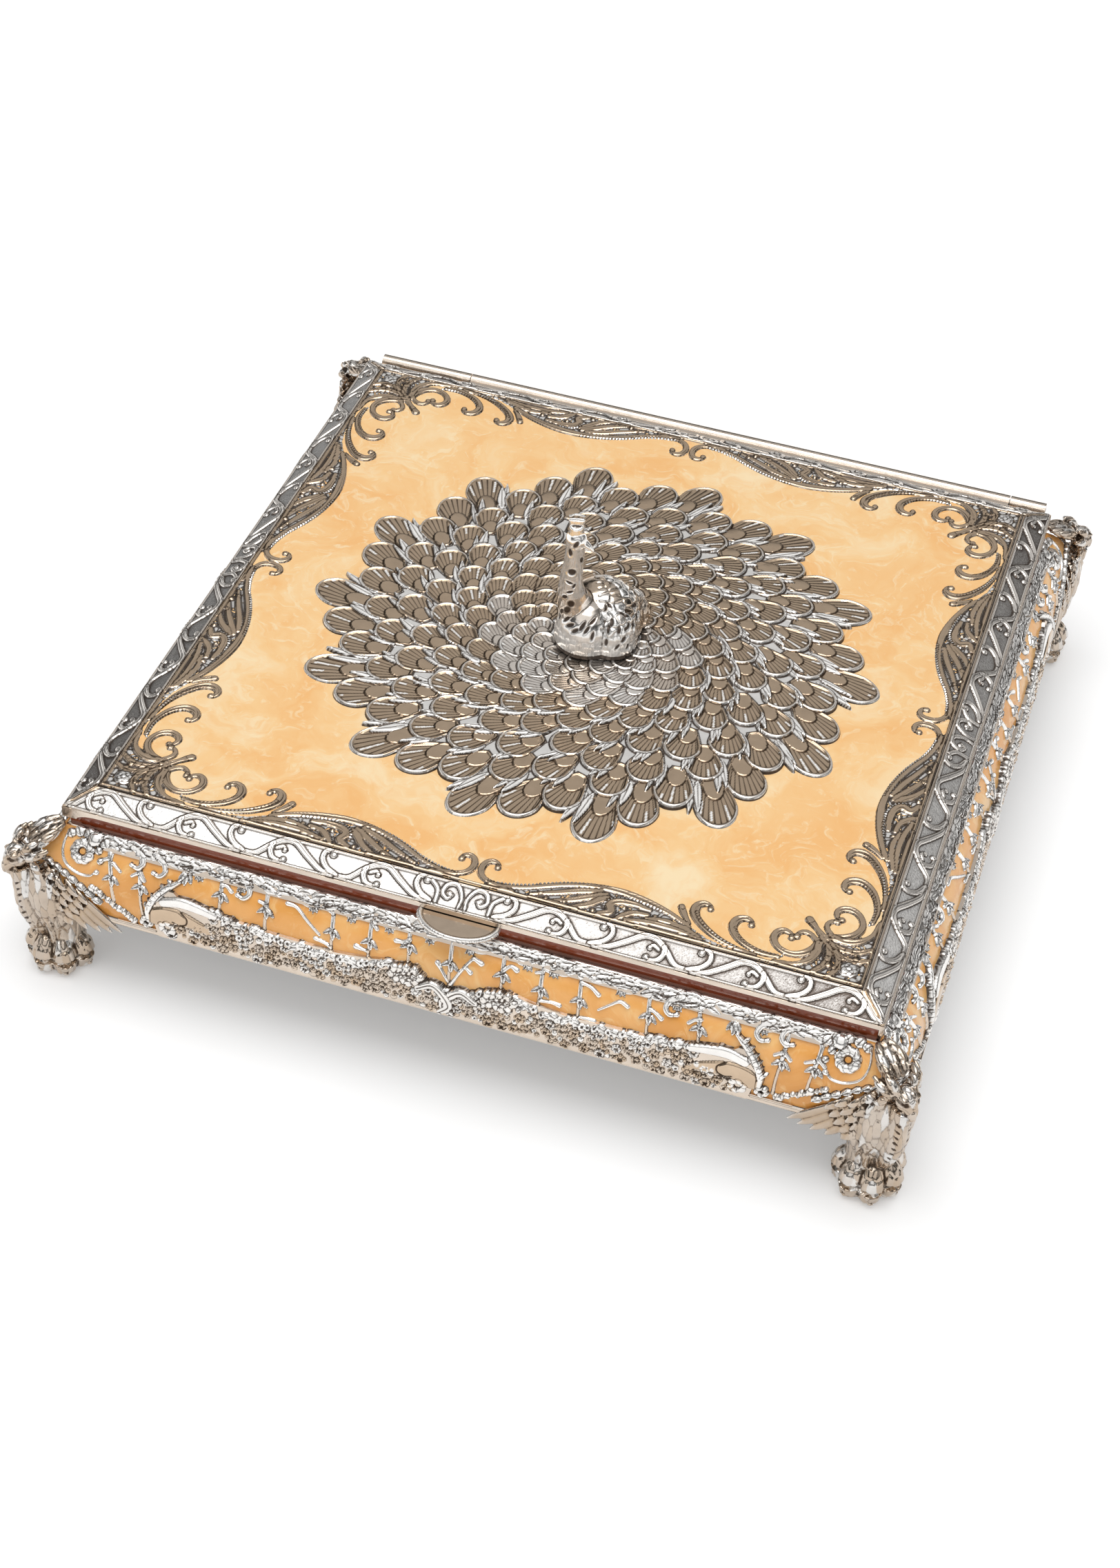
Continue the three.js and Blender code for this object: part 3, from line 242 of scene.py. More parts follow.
    def field(self, outline, level, warm=0.0):
        """A flat area inside a closed outline."""
        corners = np.array(outline, float)
        window, u, v = self.near(corners, 0.8)
        nearest = np.full(u.shape, 1e9)
        inside = np.zeros(u.shape, bool)
        for (u0, v0), (u1, v1) in zip(corners, np.roll(corners, -1, 0)):
            span = (u1 - u0) ** 2 + (v1 - v0) ** 2 + 1e-12
            t = np.clip(((u - u0) * (u1 - u0) + (v - v0) * (v1 - v0)) / span, 0, 1)
            nearest = np.minimum(nearest, np.hypot(u - u0 - t * (u1 - u0), v - v0 - t * (v1 - v0)))
            crosses = (v0 > v) != (v1 > v)
            inside ^= crosses & (u < (u1 - u0) * (v - v0) / (v1 - v0 + 1e-12) + u0)
        depth = np.where(inside, nearest, -nearest)
        self.lift(window, np.full(u.shape, float(level)), depth, warm)

    def flower(self, u0, v0, size, petals, turn, base, rise, hole=False, warm=0.0):
        """A ring of round petals about a bead or a hole."""
        reach = 0.58 * size
        for k in range(petals):
            angle = turn + 2 * math.pi * k / petals
            u, v = u0 + reach * math.cos(angle), v0 + reach * math.sin(angle)
            self.bead(u, v, 0.42 * size, rise * 0.8, base, warm)
        if hole:
            self.dent(u0, v0, 0.34 * size, 0.8 * rise)
        else:
            self.bead(u0, v0, 0.3 * size, rise, base + 0.2, warm)


def skin(name, relief, place, recess_gain=1.6, back=0.5, rear_recess=1.0):
    """A closed mesh of a relief's raised part.

    place(u, v, height) gives points in millimetres. back is how far the mesh's rear lies under the relief's
    floor, and rear_recess how dark that rear is, as painted shade.
    """
    rows, columns = relief.height.shape
    high = relief.height > relief.floor + 0.03
    used = high[:-1, :-1] | high[1:, :-1] | high[:-1, 1:] | high[1:, 1:]
    number = np.arange(rows * columns).reshape(rows, columns)
    quads = np.stack([number[:-1, :-1], number[:-1, 1:], number[1:, 1:], number[1:, :-1]], -1)[used]
    kept, faces = np.unique(quads, return_inverse=True)
    faces = faces.reshape(-1, 4)
    u, v = np.meshgrid(relief.u, relief.v)
    top = np.maximum(relief.height, relief.floor).ravel()[kept]
    u, v = u.ravel()[kept], v.ravel()[kept]
    front = place(u, v, top)
    rear = place(u, v, np.full_like(top, relief.floor - back))
    count = len(kept)
    edges = np.concatenate([faces[:, [i, (i + 1) % 4]] for i in range(4)])
    key = np.sort(edges, 1) @ [count, 1]
    _, first, times = np.unique(key, return_index=True, return_counts=True)
    rim = edges[first[times == 1]]
    walls = np.stack([rim[:, 1], rim[:, 0], rim[:, 0] + count, rim[:, 1] + count], 1)
    # Painted shade: the relief's recesses and creases, scaled by recess_gain.
    recess = (recess_of(relief) * recess_gain + relief.line).ravel()[kept]
    return mesh_piece(
        name,
        np.vstack([front, rear]),
        np.vstack([faces, faces[:, ::-1] + count, walls]),
        recess=np.concatenate([np.clip(recess, 0, 1), np.full(count, rear_recess)]),
        warm=np.concatenate([relief.warm.ravel()[kept], np.zeros(count)]),
    )


def recess_of(relief):
    """How far each point lies below what is round it, near and a little farther off."""
    h = np.maximum(relief.height, relief.floor)
    near = blurred(h, max(1, int(round(0.7 / relief.step)))) - h
    far = blurred(h, max(2, int(round(1.8 / relief.step)))) - h
    return np.clip(near * 1.3, 0, 1) + np.clip(far * 0.6, 0, 1)


def mesh_piece(name, points, faces, smooth=True, **fields):
    """An object from points in millimetres and faces, with a value per point in each field."""
    mesh = bpy.data.meshes.new(name)
    points = np.asarray(points, float) * MM
    faces = np.asarray(faces)
    mesh.vertices.add(len(points))
    mesh.vertices.foreach_set("co", points.astype(np.float32).ravel())
    mesh.loops.add(faces.size)
    mesh.loops.foreach_set("vertex_index", faces.astype(np.int32).ravel())
    mesh.polygons.add(len(faces))
    mesh.polygons.foreach_set("loop_start", np.arange(0, faces.size, faces.shape[1], dtype=np.int32))
    mesh.update(calc_edges=True)
    mesh.validate()
    for field, values in fields.items():
        layer = mesh.attributes.new(field, "FLOAT", "POINT")
        layer.data.foreach_set("value", np.asarray(values, np.float32))
    if smooth:
        mesh.polygons.foreach_set("use_smooth", np.ones(len(mesh.polygons), bool))
    piece = bpy.data.objects.new(name, mesh)
    bpy.context.scene.collection.objects.link(piece)
    return piece


def turned(points, angle):
    """Points turned about the upright axis."""
    c, s = math.cos(angle), math.sin(angle)
    x, y, z = np.asarray(points).T
    return np.stack([x * c - y * s, x * s + y * c, z], 1)


def settle(piece, body, slot, material, *nodes):
    """Gives a piece its finish and its body, and hides the nodes that it stands for; slot is not used."""
    piece.data.materials.clear()
    piece.data.materials.append(material)
    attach(piece, body)
    if nodes:
        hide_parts(*nodes)
    return piece


# Finishes


class Shader:
    """A small helper for writing a material's nodes."""

    def __init__(self, name):
        old = bpy.data.materials.get(name)
        if old:
            bpy.data.materials.remove(old)
        self.material = bpy.data.materials.new(name)
        self.material.use_nodes = True
        self.tree = self.material.node_tree
        self.shader = self.tree.nodes["Principled BSDF"]

    def node(self, kind, inputs=None, **settings):
        """A new node with its settings and inputs."""
        made = self.tree.nodes.new(kind)
        for key, value in settings.items():
            setattr(made, key, value)
        for key, value in (inputs or {}).items():
            self.give(made.inputs[key], value)
        return made

    def give(self, socket, value):
        """Links a socket to another node, or sets its value."""
        if isinstance(value, bpy.types.NodeSocket):
            self.tree.links.new(value, socket)
        else:
            socket.default_value = value

    def set(self, **values):
        """Gives the surface shader some inputs by name."""
        for key, value in values.items():
            self.give(self.shader.inputs[key.replace("_", " ")], value)

    def place(self):
        """The place on the object, in metres."""
        return self.node("ShaderNodeTexCoord").outputs["Object"]

    def noise(self, scale, detail, rough=0.5, distortion=0.0, vector=None):
        """A cloudy pattern with so many features to the metre."""
        made = self.node(
            "ShaderNodeTexNoise",
            {"Scale": scale, "Detail": detail, "Roughness": rough, "Distortion": distortion,
             "Vector": vector or self.place()},
        )
        return made.outputs["Fac"]

    def ramp(self, factor, *stops):
        """Colours by a value, from stops (value, colour)."""
        made = self.node("ShaderNodeValToRGB", {"Fac": factor})
        fill_ramp(made, stops)
        return made.outputs["Color"]

    def range(self, value, low, high, to_low, to_high):
        """A value moved from one range to another and held inside it."""
        made = self.node(
            "ShaderNodeMapRange",
            {"Value": value, "From Min": low, "From Max": high, "To Min": to_low, "To Max": to_high},
        )
        return made.outputs["Result"]

    def mix(self, factor, first, second):
        """A blend of two colours."""
        made = self.node("ShaderNodeMix", data_type="RGBA")
        self.give(made.inputs["Factor"], factor)
        colours = [i for i in made.inputs if i.type == "RGBA"]
        for socket, value in zip(colours, (first, second)):
            self.give(socket, (*value, 1) if isinstance(value, tuple) else value)
        return [o for o in made.outputs if o.type == "RGBA"][0]

    def sum(self, first, second, operation="ADD"):
        """Two values added, or joined by another operation."""
        made = self.node("ShaderNodeMath", operation=operation)
        self.give(made.inputs[0], first)
        self.give(made.inputs[1], second)
        return made.outputs[0]

    def field(self, name):
        """One of the mesh's own fields."""
        return self.node("ShaderNodeAttribute", attribute_name=name).outputs["Fac"]

    def bump(self, height, distance, strength):
        """Fine unevenness of the surface."""
        made = self.node("ShaderNodeBump", {"Height": height, "Distance": distance, "Strength": strength})
        self.give(self.shader.inputs["Normal"], made.outputs["Normal"])


def fill_ramp(node, stops):
    """Gives a colour ramp its stops (value, colour)."""
    elements = node.color_ramp.elements
    while len(elements) < len(stops):
        elements.new(0.5)
    for element, (value, colour) in zip(elements, stops):
        element.position = value
        element.color = (*colour, 1)


def three(colour):
    """A colour's red, green and blue."""
    return tuple(colour)[:3]


def cast_metal(name, settings, gleam=0.8, shade=0.0):
    """Plated cast metal: painted shade in its creases, painted highlight white on its bright parts and warm
    on its dull ones.

    gleam is how much of a mirror the bright parts are, and shade how much painted shade darkens the whole.
    Below 0 the warmth field makes the painted highlight white softer and less of a mirror.
    """
    s = Shader(name)
    warm = s.field("warm")
    recess = s.field("recess")
    # Painted highlight: low warmth turns the plating to the highlight white.
    tone = s.mix(warm, three(settings.highlight_white), three(settings.warm_metal))
    # Random darker clouds, plus the painted shade that shade adds to the whole.
    cloud = s.range(s.noise(220.0, 3.0), 0.3, 0.7, shade, shade + 0.12)
    shaded = s.mix(cloud, tone, three(settings.cloud_and_crease_shade))
    # Painted shade: the recess field darkens creases and hollows towards the crease shade colour.
    depth = s.range(recess, 0.25, 0.75, 0.0, 0.95)
    s.set(Base_Color=s.mix(depth, shaded, three(settings.cloud_and_crease_shade)))
    s.set(Metallic=s.sum(s.range(warm, -1.0, 0.0, 0.1, gleam), s.range(warm, 0.0, 1.0, 0.0, 1.0 - gleam)))
    rough = s.range(s.noise(900.0, 2.0), 0.2, 0.8, 0.09, 0.19)
    s.set(Roughness=s.sum(rough, s.range(recess, 0.2, 0.9, 0.0, 0.3)))
    s.bump(s.noise(1500.0, 2.0), 0.00003, 0.5)
    return s.material


def plain_metal(name, settings, bright):
    """The same plating on plain faces, with the share bright of painted highlight white mixed in."""
    s = Shader(name)
    cloud = s.noise(60.0, 4.0)
    base = s.mix(bright, three(settings.warm_metal), three(settings.highlight_white))
    clouded = s.mix(s.range(cloud, 0.35, 0.75, 0.0, 0.2), base, three(settings.cloud_and_crease_shade))
    s.set(Base_Color=clouded, Metallic=1.0)
    s.set(Roughness=s.range(s.noise(500.0, 3.0), 0.2, 0.8, 0.14, 0.26))
    s.bump(s.noise(700.0, 3.0), 0.00004, 0.6)
    return s.material


def pearl_enamel(name, light, middle, deep):
    """Glossy enamel with pearly streaks and clouds."""
    s = Shader(name)
    place = s.place()
    warp = s.node("ShaderNodeTexNoise", {"Scale": 30.0, "Detail": 3.0, "Vector": place}).outputs["Color"]
    shift = s.node("ShaderNodeVectorMath", operation="SCALE", inputs={0: warp, "Scale": 0.06}).outputs[0]
    bent = s.node("ShaderNodeVectorMath", operation="ADD", inputs={0: place, 1: shift}).outputs[0]
    clouds = s.noise(20.0, 5.0, 0.6, 0.6, bent)
    streaks = s.noise(80.0, 6.0, 0.65, 2.2, bent)
    base = s.ramp(clouds, (0.36, three(deep)), (0.52, three(middle)), (0.68, three(light)))
    dark = s.range(s.noise(48.0, 5.0, 0.62, 1.6, bent), 0.52, 0.74, 0.0, 0.6)
    base = s.mix(dark, base, three(deep))
    pearl = s.range(streaks, 0.53, 0.68, 0.0, 0.75)
    s.set(Base_Color=s.mix(pearl, base, three(light)))
    s.set(Roughness=s.range(streaks, 0.3, 0.8, 0.16, 0.26), Specular_IOR_Level=0.45, Coat_Weight=0.25)
    s.set(Coat_Roughness=0.08)
    s.bump(s.noise(55.0, 2.0), 0.0002, 0.25)
    return s.material


def lacquered_wood(name, settings):
    """Dark lacquer over a straight grain."""
    s = Shader(name)
    place = s.place()
    stretched = s.node("ShaderNodeMapping", {"Vector": place, "Scale": (2.0, 60.0, 60.0)}).outputs[0]
    grain = s.noise(3.0, 6.0, 0.6, 0.8, stretched)
    deep = tuple(0.45 * c for c in three(settings.lacquer))
    s.set(Base_Color=s.ramp(grain, (0.3, deep), (0.7, three(settings.lacquer))))
    s.set(Roughness=s.range(grain, 0.3, 0.7, 0.16, 0.26), Coat_Weight=0.6, Coat_Roughness=0.06)
    s.bump(grain, 0.0001, 0.3)
    return s.material


def plain_steel(name, settings):
    """Grey steel with fine straight lines."""
    s = Shader(name)
    place = s.place()
    stretched = s.node("ShaderNodeMapping", {"Vector": place, "Scale": (1.0, 14.0, 14.0)}).outputs[0]
    lines = s.noise(60.0, 4.0, 0.6, 0.0, stretched)
    light = three(settings.steel)
    s.set(Base_Color=s.ramp(lines, (0.3, tuple(0.7 * c for c in light)), (0.7, light)), Metallic=1.0)
    s.set(Roughness=s.range(lines, 0.3, 0.7, 0.28, 0.42))
    s.bump(lines, 0.00004, 0.4)
    return s.material


def studio_floor(name, settings):
    """A white floor that keeps the box's shadow and glows a little to the eye and in reflections."""
    s = Shader(name)
    tint = s.noise(3.0, 2.0)
    colour = three(settings.floor_colour)
    s.set(Base_Color=s.ramp(tint, (0.3, tuple(0.99 * c for c in colour)), (0.7, colour)))
    s.set(Roughness=0.9, Specular_IOR_Level=0.1)
    path = s.node("ShaderNodeLightPath")
    seen = s.sum(path.outputs["Is Camera Ray"], path.outputs["Is Glossy Ray"])
    seen = s.sum(seen, path.outputs["Is Transmission Ray"])
    far = s.node("ShaderNodeVectorMath", operation="LENGTH", inputs={0: s.place()}).outputs["Value"]
    s.set(Emission_Color=(1.0, 1.0, 1.0, 1.0))
    s.set(Emission_Strength=s.sum(seen, s.range(far, 0.2, 1.6, settings.floor_glow, 0.6), "MULTIPLY"))
    return s.material


def colour_of(name, text, default):
    """A colour setting."""
    return bpy.props.FloatVectorProperty(
        name=name, description=text, default=default, size=3, subtype="COLOR", min=0.0, max=1.0
    )


class BoxFinish(bpy.types.PropertyGroup):
    """Colours of the box's metals, enamels and liner."""

    warm_metal: colour_of("Warm metal", "Plating on the flat and smooth parts", (0.62, 0.475, 0.34))
    # Painted highlight: the white that stands for highlights on beads, leaves and grounds.
    highlight_white: colour_of("Bright metal", "Plating on the polished beads and leaves", (0.98, 0.96, 0.93))
    # Painted shade in creases and hollows, and the colour of the plating's darker random clouds.
    cloud_and_crease_shade: colour_of("Recess", "Plating in the deep recesses", (0.05, 0.03, 0.018))
    lid_light: colour_of("Lid enamel light", "Pearly streaks of the lid's enamel", (1.0, 0.79, 0.49))
    lid_middle: colour_of("Lid enamel", "Main colour of the lid's enamel", (0.98, 0.64, 0.3))
    lid_deep: colour_of("Lid enamel deep", "Deeper clouds of the lid's enamel", (0.95, 0.53, 0.2))
    side_light: colour_of("Side enamel light", "Pearly streaks of the sides' enamel", (1.0, 0.64, 0.28))
    side_middle: colour_of("Side enamel", "Main colour of the sides' enamel", (0.96, 0.48, 0.145))
    side_deep: colour_of("Side enamel deep", "Deeper clouds of the sides' enamel", (0.84, 0.37, 0.08))
    lacquer: colour_of("Liner", "Lacquer of the liner and the backing board", (0.34, 0.06, 0.015))
    steel: colour_of("Steel", "Plates, blocks and screws", (0.33, 0.32, 0.3))


class BoxSizes(bpy.types.PropertyGroup):
    """Sizes of the ornament."""

    border_rise: bpy.props.FloatProperty(
        name="Border relief", description="Height of the lid border's scrolls over the enamel",
        default=0.0008, min=0.0002, max=0.002, subtype="DISTANCE", unit="LENGTH",
    )
    feather_rise: bpy.props.FloatProperty(
        name="Feather lift", description="Height of a feather's tip over the feathers below it",
        default=0.0009, min=0.0002, max=0.002, subtype="DISTANCE", unit="LENGTH",
    )
    stem_width: bpy.props.FloatProperty(
        name="Stem width", description="Half width of the stems over the side enamel",
        default=0.0006, min=0.0002, max=0.0015, subtype="DISTANCE", unit="LENGTH",
    )


class BoxStage(bpy.types.PropertyGroup):
    """Floor, lights and camera."""

    floor_colour: colour_of("Floor", "Colour of the floor", (0.93, 0.93, 0.93))
    key_power: bpy.props.FloatProperty(
        name="Key light", description="Power of the overhead soft light", default=11.0, min=0.0, max=100.0,
        subtype="POWER", unit="POWER",
    )
    floor_glow: bpy.props.FloatProperty(
        name="Floor glow", description="How much whiter the floor looks than its light makes it",
        default=0.22, min=0.0, max=1.0,
    )
    camera_azimuth: bpy.props.FloatProperty(
        name="Camera azimuth", description="Turn of the camera round the box, from the front to the right",
        default=math.radians(15.96), subtype="ANGLE", unit="ROTATION",
    )
    camera_elevation: bpy.props.FloatProperty(
        name="Camera elevation", description="Angle of the camera above the floor",
        default=math.radians(42.94), subtype="ANGLE", unit="ROTATION",
    )


# Lid

# Left half of the front border and its corner, by place on the lid: x, y, half width
BORDER_GROUNDS = [
    [(-4, -130.4), (-4.5, -128.2), (-9, -127.6), (-15, -126.3), (-20, -124.4), (-25, -121.8),
     (-30, -119.5), (-35, -117.8), (-40, -116.8), (-45, -116.4), (-50, -116.4), (-55, -117.2),
     (-60, -118.4), (-65, -120.2), (-69, -122.2), (-73, -124.2), (-79, -127), (-86, -128.6),
     (-96, -128.9), (-104, -128.8), (-108, -127), (-111, -122), (-113.5, -116), (-114.5, -114.5),
     (-130.4, -130.4)],
]
BORDER_SCROLLS = [
    [(-6.6, -120.4, 0.8), (-5.9, -119, 0.9), (-4.2, -118.4, 1.1), (-2.4, -119.4, 1.2),
     (-1.5, -121.8, 1.3), (-1.9, -124.6, 1.3), (-3.8, -126.8, 1.1), (-8, -128.2, 0.9), (-14, -129, 0.7)],
    [(-76.8, -113.9, 0.7), (-75.8, -112.8, 0.9), (-73.9, -112.5, 1.3), (-72.1, -113.9, 1.6),
     (-71.7, -116.4, 1.8), (-72.9, -119.2, 1.6), (-75.6, -121.9, 1.5), (-79.5, -124.6, 1.3),
     (-84, -126.6, 1.0), (-89, -127.9, 0.8), (-95, -128.6, 0.6)],
    [(-67.3, -116.5, 1.2), (-68.2, -118.2, 1.3), (-69.8, -120.6, 1.0), (-71.8, -122.7, 0.6)],
    [(-91, -116.3, 0.7), (-90.2, -114.9, 0.9), (-88.2, -114.2, 1.3), (-86, -115.3, 1.6),
     (-85, -117.8, 1.7), (-85.6, -120.6, 1.5), (-87.8, -123.3, 1.4), (-91.5, -125.6, 1.2),
     (-96.5, -127, 1.1), (-102, -126.8, 0.8)],
    [(-104.4, -117, 0.7), (-103.2, -115.5, 0.9), (-101, -115, 1.2), (-99.2, -116.4, 1.4),
     (-98.6, -118.8, 1.4), (-99.6, -121.4, 1.3), (-102, -123.4, 1.2), (-105.5, -124.2, 1.3),
     (-109, -122.8, 1.5), (-111.6, -119.8, 1.7), (-112.8, -116.4, 1.7), (-113.6, -113.6, 1.4)],
    [(-105.2, -115.6, 0.8), (-106.2, -114, 0.9), (-107.9, -113.3, 1.0), (-110, -114.1, 1.0),
     (-112, -116.2, 0.9)],
    [(-107.6, -107.8, 1.3), (-108.8, -109.2, 1.0), (-111, -111, 1.0), (-113.4, -113.4, 1.3),
     (-117, -117, 1.3), (-121, -121, 1.0)],
    [(-113, -117, 1.1), (-113.2, -121, 1.4), (-111.5, -125, 1.3), (-107.5, -128, 0.9), (-101, -128.9, 0.6)],
    [(-115.6, -116.6, 0.9), (-117, -121, 1.2), (-116.5, -125.5, 1.2), (-114, -129.2, 0.9)],
    [(-118.5, -118.8, 0.8), (-120.5, -122.5, 1.1), (-120.5, -126.5, 1.1), (-118.8, -129.4, 0.8)],
]
BORDER_HUMP = [
    [(-6, -128.4, 0.7), (-12, -127.6, 0.8), (-18, -125.8, 0.8), (-24, -122.8, 0.9), (-30, -120.1, 0.9),
     (-36, -118.1, 1.0), (-42, -117.1, 1.2), (-48, -117, 1.5), (-54, -117.8, 1.5), (-60, -119.2, 1.3),
     (-66, -121.3, 1.1), (-72, -124.4, 0.9)],
    [(-20, -128, 0.6), (-28, -124.6, 1.0), (-35, -121.2, 1.2), (-41, -119.2, 0.9)],
    [(-27, -128.8, 0.6), (-33, -126.2, 1.1), (-38.5, -122.8, 1.3), (-43, -120, 0.9)],
    [(-34, -129.2, 0.7), (-38.5, -126.6, 1.2), (-41.5, -123.6, 1.3), (-44.2, -121.2, 0.9)],
    [(-43, -128.8, 0.9), (-46.5, -126.8, 1.4), (-45.4, -123.6, 1.6), (-48, -121.4, 1.5),
     (-53, -120.9, 1.2), (-58, -121.6, 0.8)],
    [(-49, -129, 0.7), (-51.5, -126.4, 1.3), (-54, -124.6, 1.1), (-58, -124, 0.8)],
    [(-52, -128.6, 0.8), (-60, -127, 1.1), (-68, -127, 1.0), (-77, -128.4, 0.7)],
    [(-58, -125.6, 0.6), (-64, -124.6, 1.0), (-70, -125.4, 0.9), (-76, -127.2, 0.6)],
    [(-20, -129.4, 0.5), (-30, -129.3, 0.7), (-36, -129.6, 0.5)],
    [(-56, -129.6, 0.5), (-66, -129.3, 0.7), (-80, -129.6, 0.5)],
]
BORDER_BEAD_ROWS = [
    [(-6, -127.2), (-12, -126.3), (-18, -124.4), (-24, -121.4), (-30, -118.9), (-36, -117.2),
     (-42, -116.2)],
    [(-61.5, -120.9), (-57, -119.7), (-52.5, -119.2), (-48, -119.5), (-44.8, -121.4), (-43.6, -124.4)],
    [(-72.6, -117.4), (-74.6, -120.4), (-78.5, -123.6), (-83, -126), (-88, -127.4)],
    [(-86.4, -119.6), (-88.4, -122.6), (-92, -125), (-97, -126.3), (-103, -126)],
]
BORDER_TIPS = [
    (-6.3, -120.6, 1.2), (-76.3, -114.2, 1.2), (-90.5, -116.4, 1.2), (-104, -117.3, 1.2),
    (-105.6, -116.2, 1.1), (-107.4, -107.4, 1.6), (-67.3, -116.4, 1.3),
]
BORDER_SCRATCHES = 520
CORNER_FLOWER = 124.4
BORDER_BERRIES = [
    (-23, -126.6, 0.7), (-25.3, -128.4, 0.8), (-31.2, -127.8, 0.8), (-41, -128.2, 0.8),
    (-50.2, -123.6, 0.8), (-60.5, -123.8, 0.7), (-122.5, -117, 1.1), (-125.5, -119.5, 0.9),
    (-118, -125, 0.9), (-127, -115, 0.8),
]


def on_enamel(u, v, h):
    """Places (x, y, height) over the lid's enamel."""
    return np.stack([u, v, ENAMEL_TOP + h], 1)


def lid_border(settings):
    """Scrolls, hooks, leaves and beads round the lid's enamel."""
    rise = settings.border_rise / MM
    r = Relief((-FIELD_HALF, -FIELD_HALF), (FIELD_HALF, FIELD_HALF), 0.4)
    dice = np.random.default_rng(11)
    # The grounds, bead rows, corner bead and flower are painted highlight white; grooves carry painted shade.
    for outline in BORDER_GROUNDS:
        r.field(outline, 0.2)
    for _ in range(BORDER_SCRATCHES):
        x, y = dice.uniform(-130, 0), dice.uniform(-130, -113)
        angle = dice.uniform(0, 3.14)
        du, dv = 1.3 * math.cos(angle), 1.3 * math.sin(angle)
        i, j = np.searchsorted(r.u, x), np.searchsorted(r.v, y)
        if r.height[j, i] > 0.1:
            r.groove([(x - du, y - dv, 1), (x + 0.4 * dv, y - 0.4 * du, 1), (x + du, y + dv, 1)], 0.24, 0.2)
    for path in BORDER_SCROLLS:
        r.stroke(path, rise, 0.12, "gutter")
    for path in BORDER_HUMP:
        r.stroke(path, rise * 0.8, 0.2, "gutter")
    for path in BORDER_BEAD_ROWS:
        r.beads(path, 0.42, 1.25, 0.45, 0.3, 0.0)
    for u, v, radius in [*BORDER_TIPS, *BORDER_BERRIES]:
        r.bead(u, v, radius, 0.75 * rise, 0.3)
    r.bead(-CORNER_FLOWER, -CORNER_FLOWER, 3.3, 0.5, 0.3, 0.2)
    r.flower(-CORNER_FLOWER, -CORNER_FLOWER, 2.6, 6, 0.2, 0.6, 0.4)
    r.stroke([(-130, -129.7, 0.45), (0, -129.7, 0.45)], 0.4, 0.2)
    for key, empty in (("height", r.floor), ("warm", 0), ("line", 0)):
        grid = getattr(r, key)
        grid[:, len(r.u) // 2 + 1 :] = empty
        grid = np.maximum(grid, grid[:, ::-1])
        grid = np.maximum(grid, np.rot90(grid))
        setattr(r, key, np.maximum(grid, np.rot90(grid, 2)))
    return skin("lid_border_scrolls", r, on_enamel)


def enamel_field():
    """The lid's enamel as one slightly uneven sheet under the border and the medallion."""
    r = Relief((-130.4, -130.4), (130.4, 130.4), 2.0, -0.2)
    u, v = np.meshgrid(r.u, r.v)
    r.height = 0.03 * np.sin(u * 0.11 + 0.6 * np.sin(v * 0.07)) * np.sin(v * 0.09)
    return skin("lid_enamel_field", r, on_enamel, recess_gain=0.0, back=0.6)


# Rings of fourteen feathers, outermost first: tip radius, half width, length, tilt, turn in degrees
FEATHER_RINGS = [
    (103, 7.4, 25, 20, 3.0), (96, 7.1, 21, 23, 12.5), (89.5, 6.7, 19, 26, 21.3), (81.8, 6.4, 17, 32, 6.0),
    (76.3, 6.4, 17, 38, 15.8), (69.6, 6.4, 16.5, 44, 2.8), (62.8, 6.1, 16, 48, 17.6),
    (56.2, 5.8, 15, 52, 4.2), (50.2, 5.8, 15.5, 54, 16.2), (44, 5.7, 15, 56, 2.0),
    (38, 5.6, 14.5, 58, 14.2), (32, 5.4, 13.5, 60, 1.0), (26, 5.2, 12, 62, 13.0), (20.5, 4.6, 10, 64, 0.5),
]
FEATHER_COUNT = 14
# Radius inside which no gap shows, and the rings with slivers in their gaps painted white as highlights
MEDALLION_CLOSED = 84
SLIVERS_FROM = 45
SLIVERS_TO = 97


